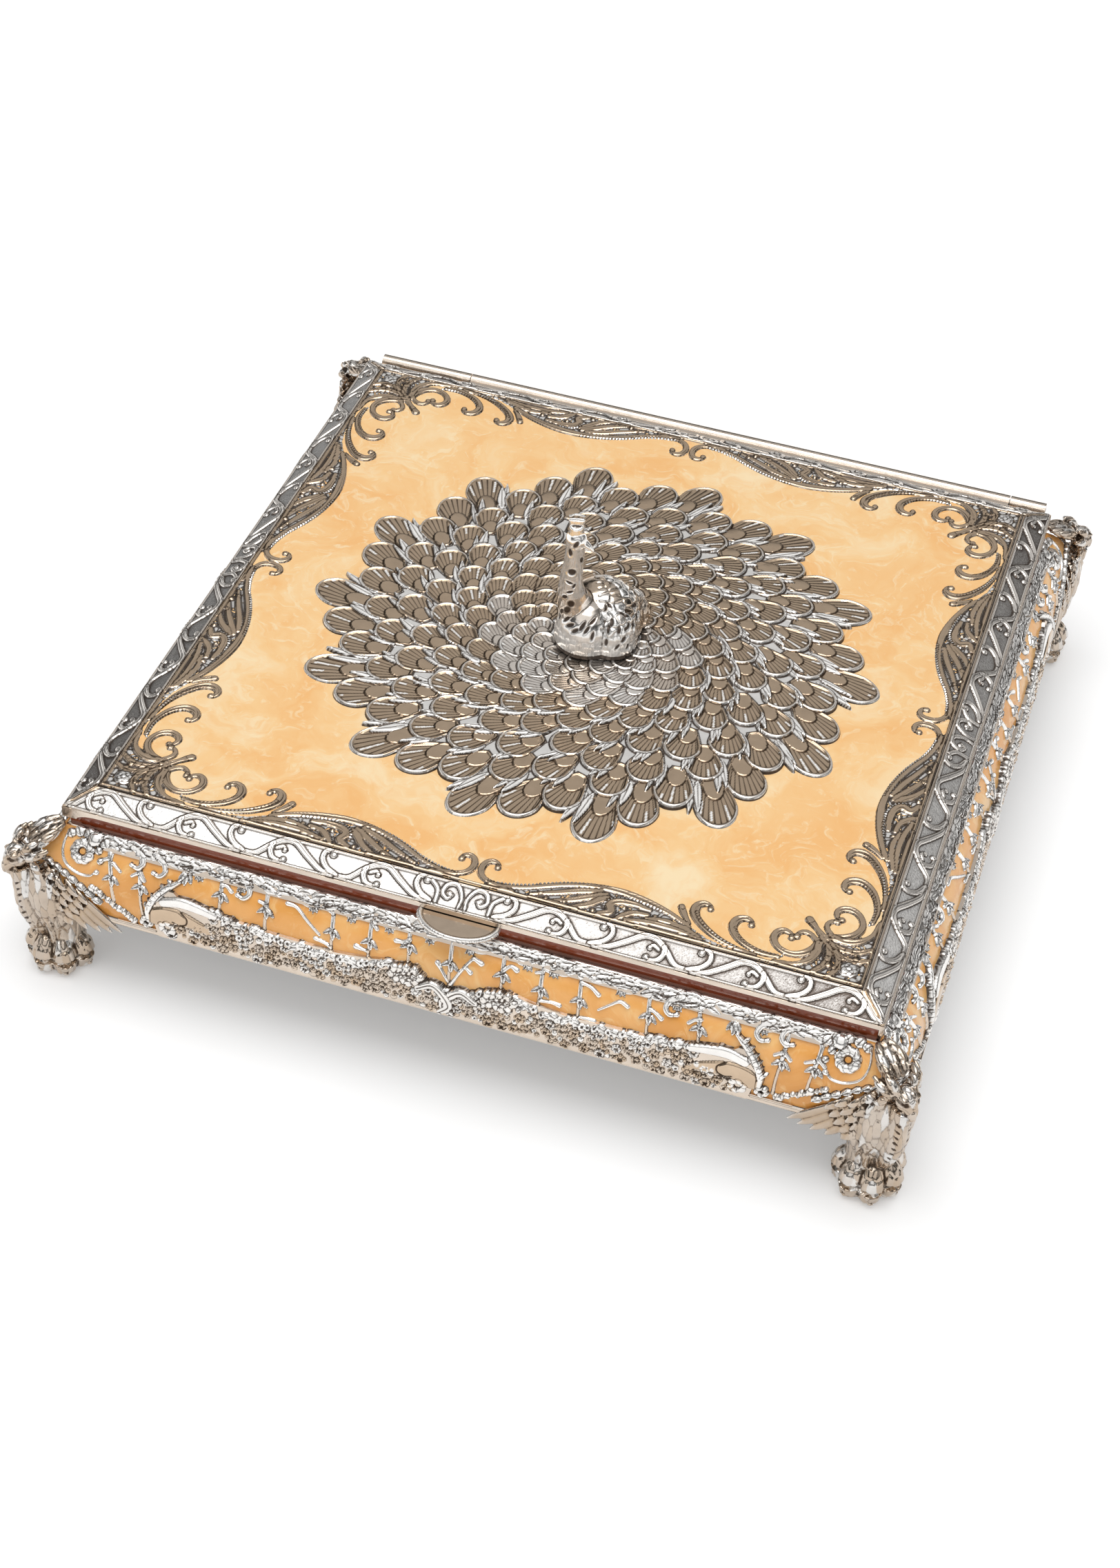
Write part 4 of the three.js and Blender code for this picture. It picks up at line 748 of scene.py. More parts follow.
def feather(r, tip, half, length, inward, lift, dome, warm):
    """One spoon-shaped feather with a rim, ribs and a plain scale at its root."""
    root = tip + inward * length
    window, u, v = r.near([tip, root], half + 1.5)
    du, dv = u - tip[0], v - tip[1]
    along = du * inward[0] + dv * inward[1]
    across = dv * inward[0] - du * inward[1]
    widest = 0.4 * length
    bowl = (1 - np.hypot((along - widest) / widest, across / half)) * min(widest, half)
    taper = half * (1 - 0.7 * np.clip((along - widest) / (length - widest), 0, 1) ** 1.4) - np.abs(across)
    depth = np.where(along < widest, bowl, np.minimum(taper, length - along))
    level = dome(np.hypot(u, v)) + lift * np.clip(1 - along / length, 0, 1)
    rim = 0.34 * np.exp(-(((depth - 0.5) / 0.34) ** 2)) - 0.2 * np.clip((depth - 0.8) / 0.8, 0, 1)
    rim_crease = np.exp(-(((depth - 1.05) / 0.2) ** 2))
    step = 2 * math.atan(half / (0.85 * length)) / (9 if half > 5 else 7)
    turn = np.arctan2(across, 1.25 * length - along) / step
    off = np.abs(turn - np.round(turn))
    bowl_area = np.clip((depth - 0.9) / 0.5, 0, 1)
    cut = np.exp(-(((0.5 - off) / 0.17) ** 2)) * bowl_area
    # Painted glints: short white streaks between some ribs near the tip.
    lit = np.cos(3.7 * np.round(turn) + 5.7 * tip[0] + 2.1 * tip[1]) > 0.5
    reach = 0.3 + 0.2 * np.cos(2.3 * np.round(turn) + tip[0])
    painted_glint = (off < 0.17) & lit & (along < reach * length) & (along > 0.12 * length) & (depth > 1)
    scale_depth = 1 - np.hypot((along - 0.76 * length) / (0.25 * length), across / (0.48 * half))
    on_scale = scale_depth > 0
    scale = np.where(on_scale, 0.36 + 0.2 * np.sqrt(np.clip(scale_depth, 0, 1)), 0)
    scale_crease = np.exp(-(((scale_depth * half * 0.5 + 0.1) / 0.25) ** 2))
    height = level + rim + np.where(on_scale, 0, -0.07 * cut) + scale
    height = height + np.minimum(depth, 0) * 3.5
    inside = depth > 0
    old = r.height[window]
    r.height[window] = np.where(inside, height, np.where(depth > -0.6, np.maximum(old, height), old))
    # Painted highlight on the rim of the bowl, and painted glints.
    tone = np.where(painted_glint & ~on_scale, -1.0, np.where((depth < 0.7) & (along < widest), 0.3 * warm, warm))
    # Painted shade in the rib grooves, in the rim's crease and round the scale.
    line = np.maximum(np.where(on_scale, 0, 0.8 * cut), np.maximum(0.5 * rim_crease, 0.8 * scale_crease))
    # Painted shadow just outside the feather's edge, on what lies under it.
    shade = np.exp(-(((depth + 0.3) / 0.3) ** 2))
    r.warm[window] = np.where(depth > 0.1, tone, r.warm[window])
    r.line[window] = np.where(inside, line, np.maximum(r.line[window], 0.9 * shade))


def feather_medallion(settings):
    """The domed rosette of overlapping feathers, with the tips of others in their gaps painted white as
    highlights.
    """
    lift = settings.feather_rise / MM
    dice = np.random.default_rng(3)
    r = Relief((-104.4, -104.4), (104.4, 104.4), 0.34)
    crown = MEDALLION_PEAK - ENAMEL_TOP - 1.0
    dome = lambda radius: crown - MEDALLION_DOME * np.minimum(1, radius / MEDALLION_REACH) ** 2
    u, v = np.meshgrid(r.u, r.v)
    radius = np.hypot(u, v)
    inside = radius < MEDALLION_CLOSED
    r.height[inside] = dome(radius)[inside] + 0.05
    for tip_radius, half, length, tilt, turn in FEATHER_RINGS:
        for between in (0.0, 0.5):
            for k in range(FEATHER_COUNT):
                angle = math.radians(turn + 360 * (k + between) / FEATHER_COUNT)
                outward = np.array([math.cos(angle), math.sin(angle)])
                side = np.array([-outward[1], outward[0]])
                slant = math.radians(tilt + dice.uniform(-2, 2))
                inward = -math.cos(slant) * outward + math.sin(slant) * side
                tip = outward * tip_radius
                if not between:
                    # Painted reflection: the inner feathers in front of the bird are paler.
                    painted_highlight = tip_radius < 40 and outward[1] < 0.2
                    feather(r, tip, half, length, inward, lift, dome, dice.uniform(0.2, 0.7) if painted_highlight else 1.0)
                elif SLIVERS_FROM < tip_radius < SLIVERS_TO:
                    level = dome(tip_radius - 4) + lift + 0.1
                    for shift in (dice.uniform(-0.2, -0.05), dice.uniform(0.05, 0.2)):
                        start = tip + inward * 0.8 * length + side * shift * half
                        end = tip + inward * dice.uniform(0.5, 3) + side * shift * 2.2 * half
                        wide = dice.uniform(0.13, 0.24) * half
                        # The slivers are painted highlight white.
                        r.leaf(start, end, wide, 0.4, level, 1, dice.uniform(-1, -0.6))
    return skin("feather_medallion", r, on_enamel, recess_gain=0.5)


# One period of the frieze's vine, by distance along and distance in from the lip's inner edge
VINE_PERIOD = 32.5
VINE_STROKES = [
    [(-16.2, 0.9, 0.6), (-12, 1.3, 0.65), (-7.5, 4.6, 0.75), (-3.5, 6.6, 0.8), (0, 6.6, 0.8),
     (5, 4, 0.75), (10, 1.6, 0.65), (13, 0.9, 0.6), (16.3, 0.9, 0.6)],
    [(16, 1.2, 0.55), (12.4, 2.4, 0.65), (10.3, 4.4, 0.65), (10.5, 6.4, 0.6), (12.3, 7.1, 0.6)],
    [(-7.3, 5, 0.6), (-7.4, 2.9, 0.65), (-5.8, 1.2, 0.6), (-3.4, 0.8, 0.5)],
    [(-5.6, 4, 0.4), (-3.8, 4.7, 0.45), (-2.4, 4, 0.4)],
]
VINE_BALLS = [(13.4, 6, 0.9), (-2.3, 1.4, 0.8), (-2.8, 3.8, 0.55)]
VINE_PERIODS = 4
VINE_FIRST = 27.0
VINE_SPREAD = 1.3
VINE_WIDTH = 1.35
BALL_WIDTH = 1.25
# The two curls beside the frieze's middle
MIDDLE_CURLS = [
    [(1.2, 0.8, 0.5), (1.0, 5, 0.6), (3.4, 8.7, 0.8), (6.6, 8.2, 0.8), (7.6, 5.2, 0.7), (5.6, 3.5, 0.6),
     (4.2, 5, 0.5)],
    [(9, 1.2, 0.6), (9.4, 5.6, 0.7), (12, 8.2, 0.7)],
]


def frieze(side):
    """A running vine on the lid frame's sloping frieze, the same both ways from the middle."""
    half = FRIEZE_OUTER
    r = Relief((-half, 0.1), (half, FRIEZE_SLOPE - 0.1), 0.27, -0.25)
    stipple = np.random.default_rng(5).standard_normal(r.height.shape)
    r.height[:] = 0.03 + 0.015 * stipple
    # Painted highlight: the ground is highlight white.
    r.warm[:] = 0.0
    # Painted shade over the ground, darker towards the +u end, with a speckle.
    r.line[:] = 0.45 + 0.2 * np.linspace(-1, 1, r.height.shape[1])[None] + 0.06 * stipple
    # The vine and the edges are mostly painted highlight white.
    warm = 0.25
    for sign in (-1, 1):
        for k in range(VINE_PERIODS):
            middle = VINE_FIRST + VINE_PERIOD * k
            for path in VINE_STROKES:
                outer = [(sign * (middle - p[0]), p[1] * VINE_SPREAD, p[2] * VINE_WIDTH) for p in path]
                r.stroke(outer, 0.7, 0.1, "gutter", warm)
            for u0, v0, radius in VINE_BALLS:
                r.bead(sign * (middle - u0), v0 * VINE_SPREAD, radius * BALL_WIDTH, 0.6, 0.2, warm)
        long_curl, short_curl = ([(sign * p[0], *p[1:]) for p in path] for path in MIDDLE_CURLS)
        r.stroke(long_curl, 0.6, 0.1, "flat", warm)
        r.bead(sign * 5.3, 5.2, 0.9, 0.5, 0.15, warm)
        r.stroke(short_curl, 0.6, 0.1, "flat", warm)
    r.stroke([(-half, 0.45, 0.35), (half, 0.45, 0.35)], 0.25, 0.05, warm=0.4)
    r.stroke([(-half, FRIEZE_SLOPE - 0.5, 0.4), (half, FRIEZE_SLOPE - 0.5, 0.4)], 0.3, 0.05, warm=0.4)
    for sign in (-1, 1):
        mitre = [(sign * half, 0.3, 0.9), (sign * (half - FRIEZE_RUN), FRIEZE_SLOPE - 0.3, 0.9)]
        r.stroke(mitre, 0.35, 0.1, "flat")

    def place(u, v, h):
        share = v / FRIEZE_SLOPE
        limit = half - FRIEZE_RUN * share
        out = h * FRIEZE_RISE / FRIEZE_SLOPE
        up = h * FRIEZE_RUN / FRIEZE_SLOPE
        height = FRIEZE_BASE + FRIEZE_RISE * share + up
        return turned(np.stack([np.clip(u, -limit, limit), -(limit + out), height], 1), SIDES[side])

    u, v = np.meshgrid(r.u, r.v)
    beyond = np.abs(u) > half - FRIEZE_RUN * v / FRIEZE_SLOPE + 0.4
    r.height[beyond] = r.floor
    return skin(f"frieze_{side}", r, place, recess_gain=0.5, back=0.1)


# Body

# Upper and lower end of each stem: x, height, x, height
STEMS = [
    (-121, 57, -118.3, 43), (-110.6, 60, -107.4, 38), (-81.6, 60, -80.4, 48), (-65.4, 60, -64, 46),
    (-42.2, 60, -40.2, 44), (-29, 60, -27.4, 44), (-16, 61, -13.6, 47), (-1.2, 60, 0.6, 44),
    (16.6, 60, 18.2, 46), (29.8, 60, 31.2, 43), (42.8, 60, 44.6, 43), (65.6, 60, 67.4, 45),
    (82.2, 60, 84.6, 46), (111.6, 60, 110, 38), (122.4, 58, 120.4, 42),
]
# How far down a stem its bud sits
BUD_SHARE = 0.42
# Twigs and the band's upper edge, by x and height, and a twig's half width
TWIGS = [
    [(-124, 55.4, 0.7), (-121.4, 56.6, 0.6)], [(-116.8, 53.6, 0.5), (-119.6, 55.4, 0.6)],
    [(-112.6, 53.4, 0.6), (-109.8, 55.2, 0.6)], [(-108, 52.8, 0.6), (-109.6, 54.8, 0.6)],
    [(-77.6, 56.4, 0.7), (-79.6, 57.6, 0.6), (-81.2, 57.4, 0.6)], [(-71.4, 58, 0.7), (-75, 59.6, 0.6)],
    [(-67.6, 56, 0.6), (-64.8, 55.4, 0.6)], [(-63.2, 53.4, 0.6), (-64.8, 55, 0.6)],
    [(-58, 57.4, 0.8), (-54.6, 57, 0.6), (-50, 54, 0.5), (-45.4, 51, 0.4)],
    [(-49.4, 58, 0.8), (-45.4, 58.6, 0.6), (-42.2, 58, 0.6)],
    [(-46.8, 49.6, 0.6), (-43.4, 49, 0.5), (-41, 48, 0.5)],
    [(-32.6, 50.6, 0.9), (-30, 50.2, 0.5), (-28.2, 50, 0.5)], [(-31.6, 58.8, 0.8), (-29, 59, 0.7)],
    [(-26.6, 57, 0.7), (-28.6, 58.6, 0.6)], [(-19.6, 55.4, 0.8), (-17.4, 55.6, 0.6), (-15, 56.6, 0.6)],
    [(-4.6, 52.4, 0.9), (-3, 50.6, 0.5), (-0.4, 47.4, 0.5)],
    [(1, 46.6, 0.6), (2.6, 50, 0.55), (5, 54, 0.55), (7, 56.4, 0.6)],
    [(9.8, 55.4, 0.9), (7.2, 56.2, 0.6)], [(6.8, 52, 0.8), (4.6, 53.4, 0.4)],
    [(21.6, 56.2, 0.9), (19.4, 56.8, 0.6), (17.2, 55, 0.6)], [(33.2, 58, 0.7), (30.4, 58.4, 0.7)],
    [(28, 57, 0.6), (30, 57.6, 0.6)], [(37.6, 49.4, 0.7), (35, 49.8, 0.5), (31.2, 49.4, 0.5)],
    [(49.4, 55.6, 0.8), (46.6, 57, 0.6), (43.4, 57.6, 0.6)],
    [(49.6, 47.4, 0.7), (46.6, 47.6, 0.5), (44.6, 47.2, 0.5)],
    [(50.2, 51.4, 0.4), (54, 54, 0.5), (56.6, 55.4, 0.6), (59.4, 54.6, 0.7)],
    [(70.8, 53.8, 0.8), (68.6, 55, 0.6), (66.8, 55.6, 0.6)],
    [(79.6, 54.8, 0.7), (81.4, 56, 0.6), (83.4, 56.4, 0.6)], [(75, 58, 0.8), (77, 59, 0.6)],
    [(113.6, 52, 0.7), (111.2, 54, 0.6)], [(108.4, 52.4, 0.6), (110.6, 53.6, 0.6)],
    [(124.6, 52.8, 0.7), (122, 54.6, 0.6)], [(118.4, 52.6, 0.6), (121, 53.6, 0.6)],
]
BAND_TOP = [
    (0, 44), (8, 44.6), (14, 47), (20, 48.4), (26, 47), (32, 45.4), (44, 45.2), (56, 45.6), (68, 46.8),
    (80, 48.2), (90, 49.4), (97, 50), (102, 49),
]
BAND_HALF = 98
# Tries, least and greatest size of the band's flowers, then of its pebbles
BAND_FILL = ((900, 1.7, 2.4), (9000, 0.8, 1.35))
BAND_CLUSTERS = ((-14, 46.6), (18, 46.2))
CLUSTER_BERRIES = 26
# The rail's hooks: x and drop
RAIL_HOOKS = ((112, 0), (104, 0.6), (74, 0.4))
# Petals beside each corner rosette, and the beads above a wing: x, height and a petal's radius
CORNER_PETALS = [
    (133.6, 61, 1.9), (130, 61.2, 1.7), (126.6, 60.6, 1.7), (123.6, 59.6, 1.5), (136.4, 60.2, 1.6),
    (128.4, 59, 1.5), (125.6, 57.6, 1.3), (124.4, 55, 1.1),
]
WING_BEADS = [
    (148, 53), (145, 52), (142, 51), (139, 49.8), (136, 48.4), (133, 46.8), (130, 45), (127, 43.2),
    (124.2, 41.2),
]
# The hoop beyond the corner rosette: x, height, half width
CORNER_HOOP = [
    (137.6, 60.4, 0.4), (138.2, 56, 0.45), (136.4, 52, 0.5), (132, 49.8, 0.5), (127.6, 49.8, 0.45),
    (125.4, 51.6, 0.4),
]


def arc_of(z):
    """Distance along the body's face from its lower edge to a height."""
    z = np.asarray(z, float)
    bend = np.arcsin(np.clip((z - BULGE_START) / BULGE_RADIUS, 0, 0.999)) * BULGE_RADIUS
    return float(np.where(z <= BULGE_START, z - BODY_BOTTOM, BULGE_START - BODY_BOTTOM + bend))


def on_face(side):
    """Places (x, distance up the face, height) on a side of the body."""

    def place(u, v, h):
        angle = np.maximum(v - (BULGE_START - BODY_BOTTOM), 0) / BULGE_RADIUS
        straight = np.minimum(v, BULGE_START - BODY_BOTTOM)
        out = np.where(angle > 0, BULGE_MIDDLE + (BULGE_RADIUS + h) * np.cos(angle), BODY_LOW_HALF + h)
        up = BODY_BOTTOM + straight + (BULGE_RADIUS + h) * np.sin(angle)
        limit = np.maximum(out, 0)
        return turned(np.stack([np.clip(u, -limit, limit), -out, up], 1), SIDES[side])

    return place


def up_face(points, sign=1):
    """Control points given by height turned to distance up the face, and mirrored where sign is -1."""
    return [(sign * p[0], arc_of(p[1]), *p[2:]) for p in points]


def side_enamel(side):
    """A smooth skin of enamel that swells a little between its stems."""
    r = Relief((-149, 1.0), (149, arc_of(61.5)), 1.0, -0.3)
    u, _ = np.meshgrid(r.u, r.v)
    stops = np.array([-BODY_LOW_HALF, *[s[0] for s in STEMS], BODY_LOW_HALF])
    place = np.searchsorted(stops, u).clip(1, len(stops) - 1)
    share = (u - stops[place - 1]) / (stops[place] - stops[place - 1])
    r.height = 0.1 + 0.16 * np.sin(np.pi * np.clip(share, 0, 1)) ** 0.7
    beyond = np.abs(u) > 148.5
    r.height[beyond] = r.floor
    return skin(f"enamel_{side}", r, on_face(side), recess_gain=0.0, back=0.1)


def band_height(x):
    """Height of the lower band's upper edge."""
    points = np.array(BAND_TOP, float)
    return np.interp(abs(x), points[:, 0], points[:, 1])


def draw_band(r, dice):
    """Flowers, berries and pebbles of the lower band between its two hooked leaves."""
    outline = [(x, z) for x, z in BAND_TOP] + [(103.5, 44), (102.5, BODY_BOTTOM)]
    left = [(-x, z) for x, z in outline[::-1]][:-1]
    whole = [(x, arc_of(z)) for x, z in [*outline, *left]]
    r.field(whole, 1.3, 0.9)
    taken = []
    for tries, low, high in BAND_FILL:
        for _ in range(tries):
            x = dice.uniform(-BAND_HALF, BAND_HALF)
            top = band_height(x)
            z = dice.uniform(35.2, top - 0.4)
            if abs(x) > 84 and z > 40.5 + 0.3 * (BAND_HALF - abs(x)):
                continue
            v = arc_of(z)
            size = dice.uniform(low, high)
            if any(abs(x - a) < 5 and math.hypot(x - a, v - b) < 0.86 * (size + c) for a, b, c in taken):
                continue
            taken.append((x, v, size))
            # Pebbles near the band's upper edge are mostly painted highlight white, the others mostly warm.
            painted_highlight = dice.random() < (0.85 if z > top - 3.4 else 0.3)
            warm = dice.uniform(0, 0.25) if painted_highlight else dice.uniform(0.6, 1)
            if size > 1.6:
                petals, turn = int(dice.integers(4, 7)), dice.uniform(0, 3)
                hole = dice.random() < 0.7
                r.flower(x, v, size, petals, turn, 1.4, 1.2, hole, warm)
            else:
                r.bead(x, v, size, dice.uniform(0.8, 1.3), 1.3, warm)
                if dice.random() < 0.35:
                    r.dent(x + 0.2, v + 0.1, 0.45 * size, 0.6)
    for x in np.arange(-92, 92.1, 2.3):
        shift = dice.uniform(-0.5, 0.5)
        z = band_height(x) + dice.uniform(-0.3, 0.7)
        v = arc_of(z)
        if dice.random() < 0.45:
            r.bead(x + shift, v, dice.uniform(1.0, 1.6), 1.2, 1.3, 0.0)
            r.dent(x + shift, v + 0.2, 0.5, 0.6)
        else:
            dx, dv = 2.2, dice.uniform(-1.2, 1.2)
            r.leaf((x - dx, v - dv), (x + dx, v + dv), dice.uniform(1.1, 1.7), 1.1, 1.3, 2, 0.0)
    for x, z in BAND_CLUSTERS:
        for k in range(CLUSTER_BERRIES):
            reach = 5.6 * math.sqrt((k + 0.5) / CLUSTER_BERRIES)
            angle = 2.4 * k
            v = arc_of(z) + 0.55 * reach * math.sin(angle)
            r.bead(x + reach * math.cos(angle), v, 1.2, 1.2, 1.9, dice.uniform(0, 0.3))
    curl = [(10, 43, 0.9), (5, 45.4, 1.3), (0.8, 42.6, 1.4), (-1, 38.6, 1.3), (2, 35, 1.0)]
    for sign in (1, -1):
        r.stroke(up_face(curl, sign), 0.9, 1.9, "flat", 0.1)
        r.groove(up_face(curl, sign), 0.3, 0.3)


# Parts of the hooked leaf at the band's right end
HOOK_BODY = [(103, 42, 3.4), (99, 43.6, 3.2), (94, 44, 2.8), (88, 43, 2.0), (82, 41.4, 1.2)]
HOOK_BACK = [(100, 48.4, 1.5), (94, 49.6, 1.7), (88, 49.2, 1.5), (82, 48.4, 1.2)]
HOOK_LEAF = [(105.4, 40, 0.7), (105.4, 44.6, 1.1), (103, 49, 1.4), (99.6, 52.6, 1.2), (95.6, 55.4, 0.7)]
HOOK_VEIN = [(104.8, 43, 1), (102, 49, 1), (98, 53, 1)]
HOOK_CURL = [(93.6, 46.4, 1), (91.4, 44.6, 1), (91.6, 42.4, 1), (94, 41.2, 1), (96.4, 42, 1)]
HOOK_FOLD = [(96, 41, 1), (90, 39.4, 1), (84, 39.6, 1)]


def draw_hooks(r, dice):
    """The hooked leaf at each end of the band, with its scroll, its smooth body and a flower."""
    for sign in (-1, 1):
        r.stroke(up_face(HOOK_BODY, sign), 0.9, 1.3, "flat", 1.0)
        # The hook's back, leaf, small leaves, flowers and beads are painted highlight white.
        r.stroke(up_face(HOOK_BACK, sign), 0.8, 1.8, "flat", 0.05)
        r.stroke(up_face(HOOK_LEAF, sign), 1.2, 1.2, "flat", 0.0)
        r.groove(up_face(HOOK_VEIN, sign), 0.25, 0.3)
        for k in range(6):
            x, z = 105.6 - 1.5 * k, 44.6 + 1.9 * k
            lean = dice.uniform(1.6, 2.8)
            r.leaf((sign * x, arc_of(z)), (sign * (x + lean), arc_of(z) + 1.2), 0.7, 0.9, 1.1, 1, 0.0)
        r.groove(up_face(HOOK_CURL, sign), 0.35, 0.5)
        r.groove(up_face(HOOK_FOLD, sign), 0.3, 0.4)
        r.flower(sign * 98.6, arc_of(38.4), 3.4, 6, 0.4, 1.4, 1.3, True, 0.1)
        r.flower(sign * 106.4, arc_of(38), 2.6, 5, 0.9, 1.0, 1.2, True, 0.1)
        for k in range(12):
            x = 111 + 1.4 * k + dice.uniform(-0.4, 0.4)
            z = 36.6 + 0.85 * k + dice.uniform(-0.4, 0.4)
            r.bead(sign * x, arc_of(z), dice.uniform(0.9, 1.4), 1.1, 0.5, dice.uniform(0, 0.3))


def draw_garland(r, dice):
    """The leafy rail under the lid, with thin swags, hanging buds, hooks and the corner rosette."""
    top = arc_of(61.6)
    # Most of the rail's leaves, buds, hooks, petals and the rosette are painted highlight white.
    r.stroke([(-134, top - 0.6, 1.3), (134, top - 0.6, 1.3)], 0.6, 0.5, "flat", 0.2)
    for x in np.arange(-131, 131.1, 4.3):
        for row in (2.9, 1.2):
            middle = x + dice.uniform(-1, 1) + row
            half = dice.uniform(2.4, 4.2)
            drop = row + dice.uniform(-0.4, 0.5)
            lean = dice.uniform(-1.3, 1.3)
            start, end = (middle - half, top - drop + lean), (middle + half, top - drop - lean)
            width, warm = dice.uniform(1.0, 1.7), dice.uniform(-0.3, 0.1)
            r.leaf(start, end, width, 1.0, 0.7, 1, warm)
            if row > 2 and dice.random() < 0.5:
                r.bead(middle + half, top - drop - 0.8, dice.uniform(0.8, 1.2), 1.0, 0.6, 0.0)
    for (x0, *_), (x1, *_) in zip(STEMS[1:-2], STEMS[2:-1]):
        if x1 - x0 > 20:
            x0 = x1 - 16
        for sag in (4.4, 5.3):
            swag = [(x0 + 1, top - 3, 0.35), ((x0 + x1) / 2, top - sag, 0.45), (x1 - 1, top - 3, 0.35)]
            r.stroke(swag, 0.6, 0.4, warm=0.1)
        x = x0 + (x1 - x0) * dice.uniform(0.3, 0.7)
        for k in (-1, 0, 1):
            r.leaf((x, top - 4.6), (x + 1.5 * k, top - 7.2 + 0.5 * abs(k)), 0.7, 0.8, 0.4, 1, 0.0)
        r.dent(x, top - 5, 0.4, 0.4)
    for sign in (-1, 1):
        for x, drop in RAIL_HOOKS:
            hook = [
                (x + 2, 60.4, 0.7), (x - 1.6, 59.4 - drop, 0.9), (x - 2.6, 57.4 - drop, 0.9),
                (x - 1, 56 - drop, 0.8), (x + 1.4, 56.4 - drop, 0.6),
            ]
            r.stroke(up_face(hook, sign), 0.9, 0.5, "flat", 0.0)
            r.bead(sign * (x + 1.4), arc_of(56.4 - drop), 0.9, 0.8, 0.5, 0.0)
        for k in (-1, 0, 1):
            tip = (sign * (94 + 2.4 * k), arc_of(54.4 + abs(k)))
            r.leaf((sign * 94, arc_of(58.6)), tip, 1.1, 0.9, 0.5, 2, 0.0)
        for x, z, size in CORNER_PETALS:
            r.bead(sign * x, arc_of(z), size, 1.0, 0.7, 0.0)
            r.groove(up_face([(x - 0.8, z - 0.8, 1), (x + 0.8, z + 0.6, 1)], sign), 0.25, 0.3)
        r.flower(sign * 131.2, arc_of(56.4), 4.5, 9, 0.3, 0.6, 1.3, True, 0.0)
        r.bead(sign * 127.6, arc_of(60), 2.2, 1.2, 1.0, 0.0)
        r.stroke(up_face(CORNER_HOOP, sign), 0.9, 0.3, warm=0.0)
        r.bead(sign * 125.2, arc_of(51.4), 1.0, 0.9, 0.4, 0.0)


def draw_wings(r):
    """A row of beads in painted highlight white above each of the feet's wings."""
    for sign in (-1, 1):
        for x, z in WING_BEADS:
            start, end = (sign * (x + 1.8), arc_of(z) + 0.9), (sign * (x - 1.8), arc_of(z) - 0.5)
            r.leaf(start, end, 1.1, 1.2, 1.0, 1, 0.0)


def draw_stems(r, width):
    """The stems: broad and in painted highlight white down to a bud of small leaves, then slender and warmer.
    """
    for x0, z0, x1, z1 in STEMS:
        xb, zb = x0 + BUD_SHARE * (x1 - x0), z0 + BUD_SHARE * (z1 - z0)
        slender = [(xb, zb, width), ((xb + x1) / 2 - 0.2, (zb + z1) / 2, width), (x1, z1, width * 1.15)]
        broad = [(x0 - 0.3, z0 + 0.8, width * 2), (x0, z0 - 1.2, width * 1.3), (xb, zb, width * 1.3)]
        r.stroke(up_face(slender), 0.7, 0.25, warm=0.75)
        r.stroke(up_face(broad), 0.8, 0.35, warm=0.0)
        v = arc_of(zb)
        for reach, drop in ((-3.0, 1.5), (3.3, 2.1), (1.0, 3.0)):
            r.leaf((xb, v + 0.5), (xb + reach, v - drop), 0.95, 0.9, 0.5, 1, 0.0)
        r.dent(xb + 0.5, v - 0.5, 0.4, 0.4)


def side_relief(side, settings):
    """Stems, garland, band and corner ornament of one side."""
    dice = np.random.default_rng(7)
    r = Relief((-149.6, -0.4), (149.6, BODY_ARC_TOP + 0.4), 0.34)
    draw_stems(r, settings.stem_width / MM)
    for path in TWIGS:
        # Twigs in painted highlight white.
        r.stroke(up_face([(p[0], p[1], p[2] * 1.15) for p in path]), 0.7, 0.35, warm=0.0)
    draw_band(r, dice)
    draw_hooks(r, dice)
    draw_garland(r, dice)
    draw_wings(r)
    r.stroke([(-149, 0.9, 0.9), (149, 0.9, 0.9)], 0.7, 0.8, "flat", 0.7)
    u, v = np.meshgrid(r.u, r.v)
    angle = np.maximum(v - (BULGE_START - BODY_BOTTOM), 0) / BULGE_RADIUS
    limit = np.where(angle > 0, BULGE_MIDDLE + BULGE_RADIUS * np.cos(angle), BODY_LOW_HALF)
    r.height[np.abs(u) > limit + 0.2] = r.floor
    return skin(f"side_ornament_{side}", r, on_face(side), recess_gain=0.35)


# Rounded castings


def ring_faces(rings, sides):
    """Faces between each ring of points and the next."""
    faces = []
    for j in range(rings - 1):
        for i in range(sides):
            k = (i + 1) % sides
            faces.append((j * sides + i, j * sides + k, (j + 1) * sides + k, (j + 1) * sides + i))
    return faces


def ball(middle, radii, sides=20, bands=12):
    """Points and faces of an ellipsoid."""
    theta = np.linspace(0, 2 * np.pi, sides, endpoint=False)
    phi = np.linspace(0, np.pi, bands + 1)[1:-1]
    x, y = np.outer(np.sin(phi), np.cos(theta)), np.outer(np.sin(phi), np.sin(theta))
    ring = np.stack([x, y, np.outer(np.cos(phi), np.ones(sides))], -1).reshape(-1, 3)
    points = np.vstack([ring, [[0, 0, 1], [0, 0, -1]]]) * np.array(radii, float)
    faces = [(a, d, c, b) for a, b, c, d in ring_faces(bands - 1, sides)]
    top, bottom = len(ring), len(ring) + 1
    last = (bands - 2) * sides
    for i in range(sides):
        k = (i + 1) % sides
        faces.append((top, i, k))
        faces.append((bottom, last + k, last + i))
    return points + np.array(middle, float), faces


